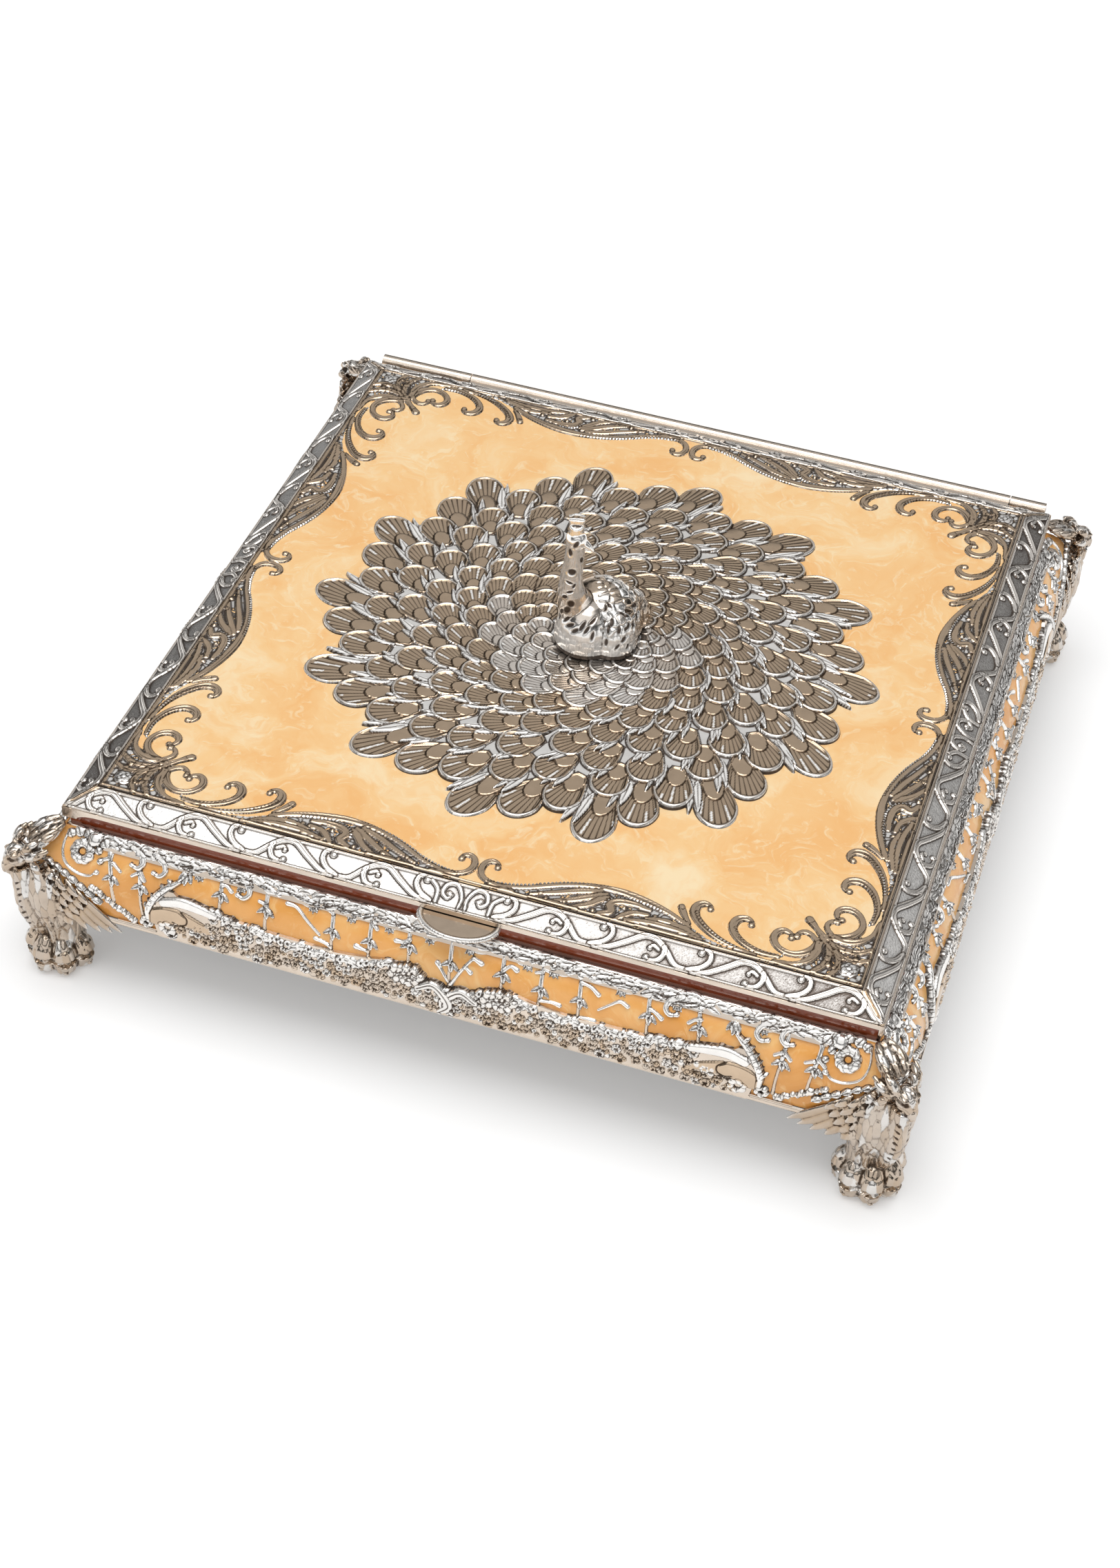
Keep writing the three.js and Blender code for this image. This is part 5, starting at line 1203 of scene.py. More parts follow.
def tube(sections, sides=16, flat=1.0, up=(0, 0, 1)):
    """Points and faces of a tube through sections (x, y, z, radius), as thick along up as flat says."""
    path = smooth_path(sections, 0.7)
    count = len(path)
    axis = np.gradient(path[:, :3], axis=0)
    axis /= np.linalg.norm(axis, axis=1)[:, None] + 1e-9
    first = np.cross(axis, np.array(up, float))
    first /= np.linalg.norm(first, axis=1)[:, None] + 1e-9
    second = np.cross(axis, first)
    theta = np.linspace(0, 2 * np.pi, sides, endpoint=False)
    wide, high = np.cos(theta)[None, :, None], flat * np.sin(theta)[None, :, None]
    offset = wide * first[:, None] + high * second[:, None]
    points = (path[:, None, :3] + offset * path[:, None, 3:4]).reshape(-1, 3)
    faces = ring_faces(count, sides)
    points = np.vstack([points, path[:1, :3], path[-1:, :3]])
    for i in range(sides):
        k = (i + 1) % sides
        faces.append((count * sides, k, i))
        faces.append((count * sides + 1, (count - 1) * sides + i, (count - 1) * sides + k))
    return points, faces


def fused(name, parts, voxel):
    """One closed mesh from overlapping parts, rebuilt in cells of voxel millimetres."""
    points, faces, start = [], [], 0
    for part_points, part_faces in parts:
        points.append(part_points)
        faces += [tuple(start + i for i in face) for face in part_faces]
        start += len(part_points)
    mesh = bpy.data.meshes.new(name)
    mesh.from_pydata((np.vstack(points) * MM).tolist(), [], faces)
    rough = bpy.data.objects.new(name + "_rough", mesh)
    bpy.context.scene.collection.objects.link(rough)
    remesh = rough.modifiers.new("fuse", "REMESH")
    remesh.mode = "VOXEL"
    remesh.voxel_size = voxel * MM
    relax = rough.modifiers.new("relax", "SMOOTH")
    relax.factor = 0.5
    relax.iterations = 1
    graph = bpy.context.evaluated_depsgraph_get()
    made = bpy.data.meshes.new_from_object(rough.evaluated_get(graph))
    bpy.data.objects.remove(rough)
    made.name = name
    return made


def recess_on_mesh(mesh, gain, warm, painted_highlight):
    """Writes the recess and warmth fields on a fused mesh, from how its faces bend: painted shade in its
    hollows and painted highlight on its ridges.

    gain says how dark the painted shade in a hollow gets, the warmth argument is the tone of its plain parts,
    and the highlight argument how much lighter a ridge gets.
    """
    count = len(mesh.vertices)
    co, normal = vertex_fields(mesh)
    edges = np.zeros(len(mesh.edges) * 2, np.int32)
    mesh.edges.foreach_get("vertices", edges)
    a, b = edges.reshape(-1, 2).T
    bend = np.zeros(count)
    times = np.zeros(count)
    along = co[b] - co[a]
    length = np.linalg.norm(along, axis=1) + 1e-9
    np.add.at(bend, a, np.einsum("ij,ij->i", along, normal[a]) / length)
    np.add.at(bend, b, -np.einsum("ij,ij->i", along, normal[b]) / length)
    np.add.at(times, a, 1)
    np.add.at(times, b, 1)
    bend /= np.maximum(times, 1)
    for _ in range(2):
        total = np.zeros(count)
        np.add.at(total, a, bend[b])
        np.add.at(total, b, bend[a])
        bend = 0.5 * bend + 0.5 * total / np.maximum(times, 1)
    write_field(mesh, "recess", np.clip(bend * gain, 0, 1))
    write_field(mesh, "warm", np.clip(warm + painted_highlight * np.minimum(bend, 0), 0, 1))
    mesh.polygons.foreach_set("use_smooth", np.ones(len(mesh.polygons), bool))


def vertex_fields(mesh):
    """Places in millimetres and normals of a mesh's vertices."""
    co = np.zeros(len(mesh.vertices) * 3)
    normal = np.zeros_like(co)
    mesh.vertices.foreach_get("co", co)
    mesh.vertex_normals.foreach_get("vector", normal)
    return co.reshape(-1, 3) / MM, normal.reshape(-1, 3)


def read_field(mesh, name):
    """A field's value at each vertex."""
    values = np.zeros(len(mesh.vertices))
    mesh.attributes[name].data.foreach_get("value", values)
    return values


def write_field(mesh, name, values):
    """Writes a field's value at each vertex."""
    layer = mesh.attributes.get(name) or mesh.attributes.new(name, "FLOAT", "POINT")
    layer.data.foreach_set("value", np.asarray(values, np.float32))


MARK_SPREAD = 1.25


def ovals(u, v, marks):
    """How strongly each place (u, v) is covered by marks (u, v, half length, half width, degrees)."""
    cover = np.zeros(len(u))
    for u0, v0, half_length, half_width, degrees in marks:
        c, s = math.cos(math.radians(degrees)), math.sin(math.radians(degrees))
        along = ((u - u0) * c + (v - v0) * s) / (half_length * MARK_SPREAD)
        across = ((v - v0) * c - (u - u0) * s) / (half_width * MARK_SPREAD)
        cover = np.maximum(cover, np.exp(-((along**2 + across**2) ** 2)))
    return cover


def engrave(mesh, cover, depth):
    """Presses the covered vertices in and darkens them with painted shade."""
    co, normal = vertex_fields(mesh)
    co -= normal * (depth * cover)[:, None]
    mesh.vertices.foreach_set("co", (co * MM).ravel())
    write_field(mesh, "recess", np.maximum(read_field(mesh, "recess"), cover))
    mesh.update()


MOST_FACETS = 1800
FACETS_COMPARED = 400


def chase(mesh, zone, stretch, spacing, dice, depth, painted_highlight, dark):
    """Works a zone of a casting into small domed facets with thin creases between them.

    stretch shortens an axis, so that facets are longer along it. The highlight share is how many facets are
    painted bright as highlights, and depth and dark are those of the creases, dark being their painted shade.
    """
    co, normal = vertex_fields(mesh)
    place = co * np.array(stretch, float)
    inside = np.nonzero(zone(co))[0]
    seeds = []
    for i in dice.permutation(inside)[:MOST_FACETS]:
        last = seeds[-FACETS_COMPARED:]
        if all(np.sum((place[i] - s) ** 2) > (spacing * dice.uniform(0.8, 1.3)) ** 2 for s in last):
            seeds.append(place[i])
    gap = np.linalg.norm(place[inside][:, None] - np.array(seeds)[None], axis=2)
    nearest = gap.argmin(1)
    two = np.partition(gap, 1, axis=1)[:, :2]
    apart = (two[:, 1] - two[:, 0]) / spacing
    sunk = np.exp(-((apart / 0.3) ** 2))
    co[inside] -= normal[inside] * (depth * sunk)[:, None]
    mesh.vertices.foreach_set("co", (co * MM).ravel())
    recess = read_field(mesh, "recess")
    # Painted shade along the creases between facets.
    recess[inside] = np.maximum(recess[inside], dark * np.exp(-((apart / 0.18) ** 2)))
    write_field(mesh, "recess", recess)
    warm = read_field(mesh, "warm")
    # Each facet is painted either bright, as a highlight, or dull.
    bright = dice.random(len(seeds)) < painted_highlight
    light, dull = dice.uniform(0, 0.35, len(seeds)), dice.uniform(0.6, 0.9, len(seeds))
    warm[inside] = np.where(bright, light, dull)[nearest]
    write_field(mesh, "warm", warm)
    mesh.update()


# Directions of the six toes, and the turn from a toe to the frill beside it
TOE_DEGREES = (-128, -77, -26, 26, 77, 128)
TOE_GAP = 25.5


def foot_parts():
    """Paw, leg, chest, beaked head and corner leaf, with the body's corner along +X."""
    out = CORNER_OUT
    paw = out - 9.0
    across = (0, 1, 0)
    leg = [
        (paw - 0.5, 0, 9, 8.4), (paw - 1, 0, 15, 7.6), (paw - 0.6, 0, 21, 7.8), (paw + 0.6, 0, 28, 8.8),
        (paw + 2, 0, 35, 9.8), (paw + 3, 0, 43, 9.2), (paw + 3, 0, 50, 7.0),
    ]
    parts = [ball((paw, 0, 7.4), (8.8, 8.8, 7.4)), tube(leg, 24, 1.1, up=across)]
    for degrees in TOE_DEGREES:
        c, s = math.cos(math.radians(degrees)), math.sin(math.radians(degrees))
        at = lambda reach, z, radius: (paw + reach * c, reach * s, z, radius)
        parts.append(tube([at(4.2, 15.0, 2.6), at(7.0, 12.8, 3.6), at(8.4, 9.0, 4.4), at(7.6, 4.6, 4.1)], 16))
        parts.append(ball(at(7.4, 4.1, 0)[:3], (4.1, 4.1, 4.1)))
        parts.append(tube([at(10.0, 5.4, 1.8), at(10.4, 3.2, 1.7), at(8.8, 1.3, 1.2)], 12))
        between = math.radians(degrees + TOE_GAP)
        c2, s2 = math.cos(between), math.sin(between)
        frill = [
            (paw + 6.4 * c2, 6.4 * s2, 14.6, 1.5), (paw + 6.8 * c2, 7.2 * s2, 18.5, 1.3),
            (paw + 7.4 * c2 + 0.4, 8.2 * s2, 23, 1.1), (paw + 8.0 * c2 + 1, 9.4 * s2, 27, 0.7),
        ]
        parts.append(tube(frill, 10))
    chest = [
        (paw + 5.6, 0, 17, 3.0), (paw + 7.6, 0, 23, 4.0), (paw + 9, 0, 30, 4.8), (paw + 9.6, 0, 37, 4.8),
        (paw + 10.2, 0, 44, 4.4), (out + 2.6, 0, 50, 3.9),
    ]
    upper_beak = [
        (out + 4.6, 0, 53.6, 2.8), (out + 6.4, 0, 51.4, 2.1), (out + 6.9, 0, 49.2, 1.3),
        (out + 6.2, 0, 47.6, 0.6),
    ]
    lower_beak = [(out + 3.6, 0, 50, 2.4), (out + 5.2, 0, 47.8, 1.4), (out + 5.0, 0, 46.4, 0.7)]
    parts.append(tube(chest, 20, up=across))
    parts.append(ball((out + 2.8, 0, 54.6), (4.5, 4.2, 4.4)))
    parts.append(tube(upper_beak, 14, up=across))
    parts.append(tube(lower_beak, 12, up=across))
    for side in (-1, 1):
        brow = [
            (out + 2, side * 2.8, 57.2, 1.4), (out - 0.2, side * 4.4, 60.2, 1.8),
            (out - 3.4, side * 5.2, 62.2, 0.7),
        ]
        cheek = [
            (out + 1, side * 4.4, 55.6, 1.5), (out - 2, side * 6.4, 57.6, 1.8),
            (out - 6, side * 7.6, 59.4, 0.8),
        ]
        parts.append(ball((out + 3.8, side * 2.7, 56.4), (2.4, 1.2, 1.1), 14, 8))
        parts.append(tube(brow, 10))
        parts.append(tube(cheek, 10))
        for k in range(7):
            z = 52.4 - 3.4 * k
            mane = [
                (out - 0.6 - 0.8 * k, side * (3.6 + 0.5 * k), z + 1.6, 1.3),
                (out - 1.2 - 0.8 * k, side * (6.0 + 0.5 * k), z, 1.6),
                (out - 3.0 - 0.8 * k, side * (7.6 + 0.4 * k), z - 2.8, 0.7),
            ]
            parts.append(tube(mane, 8))
    for k in range(3):
        y = (k - 1) * 3.0
        leaf = [
            (out - 2, 0.9 * y, 58.2, 1.9), (out - 6, y * 1.1, 60.6, 2.3), (out - 10.5, y * 0.9, 62.6, 1.9),
            (out - 14.5, y * 0.5, 64, 0.8),
        ]
        parts.append(tube(leaf, 12))
    return parts


def from_face(part, side):
    """Moves a part from a side's face (x along it, proud of it, height) to the foot's own place."""
    points, faces = part
    rise = np.clip((points[:, 2] - BULGE_START) / BULGE_RADIUS, 0, 1)
    back = BULGE_RADIUS * (1 - np.sqrt(1 - rise**2))
    flat = np.stack([-points[:, 0], -(BODY_LOW_HALF - back + points[:, 1]), points[:, 2]], 1)
    own = turned(flat, 0.75 * math.pi)
    own[:, 1] *= side
    return own, faces if side > 0 else [face[::-1] for face in faces]


def plume(start, end, lift, radius):
    """A flattened pointed feather on a side's face, from its root to its tip, both (x, z)."""
    (x0, z0), (x1, z1) = start, end
    at = lambda share, rise, size: (x0 + (x1 - x0) * share, lift + rise, z0 + (z1 - z0) * share, size)
    vane = [
        at(0, -1.0, 0.6 * radius), at(0.4, 0, radius), at(0.75, 0.4, 0.85 * radius),
        at(1, 0.4, 0.25 * radius),
    ]
    return tube(vane, 14, 0.5, up=(0, 1, 0))


WING_LAYERS = 4
FEATHERS_IN_ROW = 5


def wing_parts(side):
    """One wing: layers of short feathers, long ones at the tip, and the shield leaf below its root."""
    parts = [ball((133, -1.4, 37), (14, 1.6, 8.5))]
    along, across = np.array([-0.83, -0.56]), np.array([-0.56, 0.83])
    root = np.array([147.0, 46.5])
    for k in range(FEATHERS_IN_ROW):
        start = root + along * 15 + across * (4.6 - 2.5 * k)
        tip = root + along * (35.5 - 1.9 * k - 0.4 * k * k) + across * (3.4 - 3.0 * k)
        parts.append(plume(start, tip, 1.0 + 0.14 * k, 1.75))
    for layer in range(WING_LAYERS):
        far = 13.5 - 4.6 * layer
        for k in range(FEATHERS_IN_ROW):
            start = root + along * far + across * (6.2 - 3.1 * k + 0.7 * (layer % 2))
            tip = start + along * 6.9 - across * (0.6 + 0.5 * k)
            parts.append(plume(start, tip, 1.8 + 0.75 * layer + 0.05 * k, 1.5))
    parts.append(ball((140.6, 1.2, 29.6), (4.6, 2.0, 6.6), 20, 14))
    midrib = [(144.6, 1.6, 35.6, 0.9), (141, 3.4, 31, 1.0), (139.6, 2.4, 23.6, 0.5)]
    side_rib = [(137, 1.4, 34.4, 0.9), (139.6, 3.0, 30.6, 0.9)]
    parts.append(tube(midrib, 10, up=(0, 1, 0)))
    parts.append(tube(side_rib, 10, up=(0, 1, 0)))
    return [from_face(part, side) for part in parts]


PAW_TOP = 16
HEAD_BOTTOM = 50


def foot_mesh():
    """The whole casting, chased into facets, with slits cut in its chest and eyes in its head."""
    parts = foot_parts()
    for side in (-1, 1):
        parts += wing_parts(side)
    dice = np.random.default_rng(21)
    mesh = fused("clawed_foot", parts, 0.4)
    recess_on_mesh(mesh, 9.0, 1.0, 4.0)
    paw = lambda co: co[:, 2] < PAW_TOP
    leg = lambda co: (co[:, 2] >= PAW_TOP) & (co[:, 2] < HEAD_BOTTOM) & (np.abs(co[:, 1]) < 11.5)
    head = lambda co: co[:, 2] >= HEAD_BOTTOM
    chase(mesh, paw, (1, 1, 0.45), 2.1, dice, depth=0.32, painted_highlight=0.25, dark=0.3)
    chase(mesh, leg, (1, 1, 0.24), 1.7, dice, depth=0.4, painted_highlight=0.2, dark=0.5)
    chase(mesh, head, (0.4, 1, 0.8), 1.7, dice, depth=0.35, painted_highlight=0.3, dark=0.5)
    co, _ = vertex_fields(mesh)
    marks = []
    for k in range(8):
        for sign in (-1, 1):
            marks.append((sign * 2.4, 23.5 + 2.9 * k, 1.1, 0.35, sign * 50))
    chest = (co[:, 0] > CORNER_OUT - 4.5) & (np.abs(co[:, 1]) < 5.5) & (co[:, 2] < 48)
    engrave(mesh, ovals(co[:, 1], co[:, 2], marks) * chest, 0.3)
    eyes = [(sign * 2.7, 55.4, 1.0, 0.8, 0) for sign in (-1, 1)]
    near_eyes = (co[:, 0] > CORNER_OUT + 2.5) & (co[:, 2] > HEAD_BOTTOM)
    engrave(mesh, ovals(co[:, 1], co[:, 2], eyes) * near_eyes, 0.5)
    return mesh


# The bird's neck: x, y, height, radius
BIRD_NECK = [
    (-1.4, -7.6, 13, 7.6), (-2.4, -10, 19, 5.6), (-2.6, -11.2, 25, 4.4), (-2.2, -11.3, 31, 3.8),
    (-1.8, -11, 37, 3.5), (-1.6, -10.9, 43, 3.4), (-1.6, -10.9, 48, 2.7), (-1.7, -10.9, 51, 2.5),
]
# Marks round the body and the neck: degrees, height, half length, half width, slope in degrees
BIRD_BODY_MARKS = [
    (-118, 15, 1.5, 0.6, 60), (-108, 13, 1.4, 0.6, 50), (-124, 11.5, 1.3, 0.6, 80),
    (-98, 12, 1.5, 0.6, 30), (-88, 11, 1.3, 0.6, 40), (-80, 13, 1.6, 0.7, 70), (-72, 12, 1.4, 0.6, 60),
    (-66, 14.5, 1.4, 0.6, 30), (-62, 10, 1.4, 0.6, 80), (-36, 12, 1.4, 0.6, 70), (-28, 14, 1.4, 0.6, 40),
    (-40, 7.5, 1.3, 0.6, 80), (-18, 12, 1.3, 0.6, 60), (-14, 8.5, 1.3, 0.6, 40), (-24, 6, 1.2, 0.5, 50),
    (-8, 5, 1.2, 0.5, 80), (-2, 12, 2.0, 0.5, 20), (6, 15, 1.8, 0.5, -30), (14, 11, 1.8, 0.5, 10),
    (24, 14.5, 1.6, 0.5, -20), (-34, 17, 1.6, 0.5, 20), (-16, 17.5, 1.8, 0.5, -20),
    (34, 11, 1.8, 0.5, 30), (46, 14, 1.8, 0.5, -10), (60, 11, 1.8, 0.5, 20), (76, 14, 1.8, 0.5, -20),
    (92, 11, 1.8, 0.5, 10), (108, 14, 1.8, 0.5, -10), (124, 11, 1.8, 0.5, 20), (142, 14, 1.8, 0.5, -20),
    (160, 11, 1.8, 0.5, 10), (176, 14, 1.6, 0.5, 40), (-168, 10, 1.6, 0.5, 30), (-152, 13, 1.6, 0.5, 60),
    (-138, 9, 1.4, 0.5, 70),
]
BIRD_NECK_MARKS = [
    (-70, 17, 1.6, 1.0, 60), (-52, 20, 1.1, 1.3, 0), (-84, 22.5, 1.0, 0.7, 40), (-60, 25, 1.2, 0.5, 20),
    (-40, 27.5, 1.0, 0.5, 60), (-66, 29, 1.3, 0.5, -20), (-56, 33.5, 1.5, 1.2, 0),
    (-76, 41.5, 0.9, 1.4, 10), (-44, 45.5, 0.7, 1.6, -30), (0, 38, 0.8, 1.2, 20), (40, 30, 0.9, 1.2, -20),
    (90, 34, 0.9, 1.3, 10), (140, 28, 0.9, 1.3, -10), (-150, 36, 0.9, 1.3, 20), (60, 22, 1.2, 0.8, 30),
    (160, 20, 1.2, 0.8, -30),
]
# Axes of the body and of the neck, and millimetres per degree round them
BODY_AXIS = (4.0, -1.5)
BODY_ARC = 0.26
NECK_AXIS = (-2, -11)
NECK_ARC = 0.07
CREST_PINS = 6
BIRD_TURN = math.radians(-24)


def bird_mesh():
    """A crested bird resting on the medallion, with engraved feather marks."""
    parts = [
        ball((1.2, 1.8, 5), (15.2, 15.4, 15.2), 40, 26),
        ball((1.8, -7.0, 3.6), (11.4, 10.8, 14.8), 32, 22),
        ball((11.2, -1.8, 3.4), (7.8, 8.8, 12.6), 32, 22),
        ball((3.4, 12.4, 4.4), (10.4, 7.6, 8.6), 24, 16),
        tube(BIRD_NECK, 24, up=(0, 1, 0)),
        ball((-1.3, -11, 45.4), (4.0, 3.5, 3.6), 24, 16),
        tube([(1.0, -10.4, 45, 1.9), (3.4, -9.6, 43.8, 1.1), (5.0, -9.0, 42.2, 0.4)], 12),
    ]
    across = Vector((math.cos(math.radians(40)), math.sin(math.radians(40))))
    for k in range(CREST_PINS):
        offset = k - (CREST_PINS - 1) / 2
        shift = offset * 0.95
        x, y = -1.7 + shift * across.x, -10.9 + shift * across.y
        low = (-1.7 + 0.5 * shift * across.x, -10.9 + 0.5 * shift * across.y, 49.5, 0.8)
        parts.append(tube([low, (x, y, 53.4, 0.62), (x, y, 55.9 - 0.12 * offset**2, 0.72)], 8))
    mesh = fused("bird", parts, 0.36)
    for vertex in mesh.vertices:
        if vertex.co.z < 0:
            vertex.co.z *= 0.04
    recess_on_mesh(mesh, 10.0, 0.9, 3.0)
    co, _ = vertex_fields(mesh)
    z = co[:, 2]
    # Painted shadow: a dark band where the bird meets the medallion.
    write_field(mesh, "recess", np.maximum(read_field(mesh, "recess"), 0.9 * (z < 1.7)))
    angle = np.degrees(np.arctan2(co[:, 1] - BODY_AXIS[1], co[:, 0] - BODY_AXIS[0]))
    body_marks = [(degrees * BODY_ARC, *rest) for degrees, *rest in BIRD_BODY_MARKS]
    engrave(mesh, ovals(angle * BODY_ARC, z, body_marks) * (z < 19), 0.35)
    x, y = co[:, 0] - NECK_AXIS[0], co[:, 1] - NECK_AXIS[1]
    neck = (z >= 15) & (np.hypot(y, x) < 8)
    neck_marks = [(degrees * NECK_ARC, *rest) for degrees, *rest in BIRD_NECK_MARKS]
    engrave(mesh, ovals(np.degrees(np.arctan2(y, x)) * NECK_ARC, z, neck_marks) * neck, 0.3)
    barbs = np.clip(np.cos(np.radians(angle) * 84), 0, 1) ** 2
    fine = barbs * np.clip((9.5 - z) / 3, 0, 1) * (z > 1.2)
    engrave(mesh, 0.42 * fine, 0.12)
    dice = np.random.default_rng(5)
    upper = lambda co: (co[:, 2] > 9) & (co[:, 2] < 21) & (co[:, 1] + 0.9 * co[:, 0] > 0)
    chase(mesh, upper, (1, 1, 0.8), 2.6, dice, depth=0.45, painted_highlight=0.45, dark=0.6)
    back = lambda co: (co[:, 2] <= 9) & (co[:, 1] + 0.5 * co[:, 0] > 5)
    chase(mesh, back, (1, 1, 0.6), 2.8, dice, depth=0.45, painted_highlight=0.3, dark=0.5)
    # Painted highlight: the body's side turned towards -66 degrees, its lower chest and the neck above 22 mm
    # are whiter and less of a mirror.
    toward = np.cos(np.radians(angle + 66))
    low = np.clip((17 - z) / 7, 0.3, 1)
    painted_highlight = np.clip((toward - 0.05) * 2.2, 0, 1) * low * (z < 22) + (z >= 22) * 0.75
    write_field(mesh, "warm", read_field(mesh, "warm") * (1 - painted_highlight) - 0.4 * painted_highlight)
    return mesh


def half_moon_tab():
    """The thumb tab: a flat half moon with its edge painted as a highlight and a line of painted shade just
    inside it.
    """
    r = Relief((-TAB_HALF - 0.5, -TAB_REACH - 0.5), (TAB_HALF + 0.5, TAB_ROOT), 0.3, -0.5)
    u, v = np.meshgrid(r.u, r.v)
    depth = (1 - np.hypot(u / TAB_HALF, np.minimum(v, 0) / TAB_REACH)) * TAB_REACH
    depth = np.minimum(depth, TAB_ROOT - v)
    r.height = np.where(depth > 0, 0.35 * np.exp(-(((depth - 0.5) / 0.4) ** 2)), r.floor)
    r.warm = np.where(depth < 0.9, 0.1, 0.9)
    r.line = 0.6 * np.exp(-(((depth - 1.2) / 0.25) ** 2))
    return r


# Stage

FLOOR_HALF = 9000.0
KEY_PLACE = (0, -0.15, 1.5)
KEY_SIZE = (1.2, 1.2)
LIGHT_TARGET = (0, 0, 0.05)
# Brightness of the surround by how far up a ray goes, how far to either side and how far behind
SKY_BANDS = [(0.0, 1.0), (0.2, 1.0), (0.27, 0.05), (0.38, 0.08), (0.5, 0.95), (0.88, 0.95), (1.0, 0.7)]
SIDE_FLAGS = [(0.0, 1.0), (0.5, 1.0), (0.6, 0.25), (0.78, 0.25), (0.86, 1.0)]
BEHIND = {"From Min": 0.05, "From Max": 0.35, "To Min": 1.0, "To Max": 0.6}

def aim(thing, target):
    """Turns a light to face a place."""
    thing.rotation_mode = "QUATERNION"
    thing.rotation_quaternion = (Vector(target) - thing.location).to_track_quat("-Z", "Y")


def softbox(name, place, size, power):
    """A soft rectangular light over the box."""
    light = bpy.data.lights.new(name, "AREA")
    light.shape = "RECTANGLE"
    light.size, light.size_y = size
    light.energy = power
    thing = bpy.data.objects.new(name, light)
    thing.location = place
    bpy.context.scene.collection.objects.link(thing)
    aim(thing, LIGHT_TARGET)


# The photograph's camera, in metres and pixels
CAMERA_ROLL = math.radians(3.384)
CAMERA_DISTANCE = 1.0223
CAMERA_TARGET = Vector((-0.0111, 0.0068, -0.005))
FOCAL_PIXELS = 3914.9
PICTURE_HEIGHT = 2274
SENSOR = 36.0


def make_camera(settings):
    """The camera, from its azimuth and elevation round the box."""
    azimuth, elevation = settings.camera_azimuth, settings.camera_elevation
    level = math.cos(elevation)
    back = Vector((math.sin(azimuth) * level, -math.cos(azimuth) * level, math.sin(elevation)))
    right = Vector((math.cos(azimuth), math.sin(azimuth), 0))
    up = back.cross(right)
    tilted_right = right * math.cos(CAMERA_ROLL) + up * math.sin(CAMERA_ROLL)
    tilted_up = up * math.cos(CAMERA_ROLL) - right * math.sin(CAMERA_ROLL)
    data = bpy.data.cameras.new("camera")
    data.sensor_width = SENSOR
    data.sensor_fit = "AUTO"
    data.lens = FOCAL_PIXELS / PICTURE_HEIGHT * SENSOR
    data.clip_start, data.clip_end = 0.01, 100.0
    camera = bpy.data.objects.new("camera", data)
    bpy.context.scene.collection.objects.link(camera)
    turn = Matrix((tilted_right, tilted_up, back)).transposed().to_4x4()
    camera.matrix_world = Matrix.Translation(CAMERA_TARGET + back * CAMERA_DISTANCE) @ turn
    bpy.context.scene.camera = camera


def make_world():
    """The surround: white, with a dark band above the horizon, greyer behind, and dark flags beside."""
    world = bpy.data.worlds.new("studio")
    bpy.context.scene.world = world
    world.use_nodes = True
    tree = world.node_tree
    background = tree.nodes["Background"]
    place = tree.nodes.new("ShaderNodeTexCoord")
    split = tree.nodes.new("ShaderNodeSeparateXYZ")
    side = tree.nodes.new("ShaderNodeMath")
    side.operation = "ABSOLUTE"
    tree.links.new(place.outputs["Generated"], split.inputs[0])
    tree.links.new(split.outputs["X"], side.inputs[0])
    greys = []
    for factor, bands in ((split.outputs["Z"], SKY_BANDS), (side.outputs[0], SIDE_FLAGS)):
        ramp = tree.nodes.new("ShaderNodeValToRGB")
        tree.links.new(factor, ramp.inputs["Fac"])
        fill_ramp(ramp, [(position, (grey, grey, grey)) for position, grey in bands])
        greys.append(ramp.outputs["Color"])
    behind = tree.nodes.new("ShaderNodeMapRange")
    for key, value in BEHIND.items():
        behind.inputs[key].default_value = value
    tree.links.new(split.outputs["Y"], behind.inputs["Value"])
    dimmed = tree.nodes.new("ShaderNodeVectorMath")
    dimmed.operation = "SCALE"
    tree.links.new(greys[1], dimmed.inputs[0])
    tree.links.new(behind.outputs["Result"], dimmed.inputs["Scale"])
    both = tree.nodes.new("ShaderNodeMix")
    both.data_type = "RGBA"
    both.blend_type = "MULTIPLY"
    both.inputs["Factor"].default_value = 1.0
    colours = [i for i in both.inputs if i.type == "RGBA"]
    tree.links.new(greys[0], colours[0])
    tree.links.new(dimmed.outputs[0], colours[1])
    tree.links.new([o for o in both.outputs if o.type == "RGBA"][0], background.inputs["Color"])
    background.inputs["Strength"].default_value = 1.0


# Operators


class BuildStage(bpy.types.Operator):
    """Makes the floor, the soft light, the surround and the camera"""

    bl_idname = "metal_box.stage"
    bl_label = "Stage"

    def execute(self, context):
        settings = context.scene.box_stage
        scene = context.scene
        scene.view_settings.view_transform = "Standard"
        corners = ((-1, -1), (1, -1), (1, 1), (-1, 1))
        points = [(x * FLOOR_HALF, y * FLOOR_HALF, 0) for x, y in corners]
        floor = mesh_piece("floor", points, [(0, 1, 2, 3)], smooth=False)
        floor.data.materials.append(studio_floor("floor", settings))
        make_world()
        softbox("key", KEY_PLACE, KEY_SIZE, settings.key_power)
        make_camera(settings)
        return {"FINISHED"}


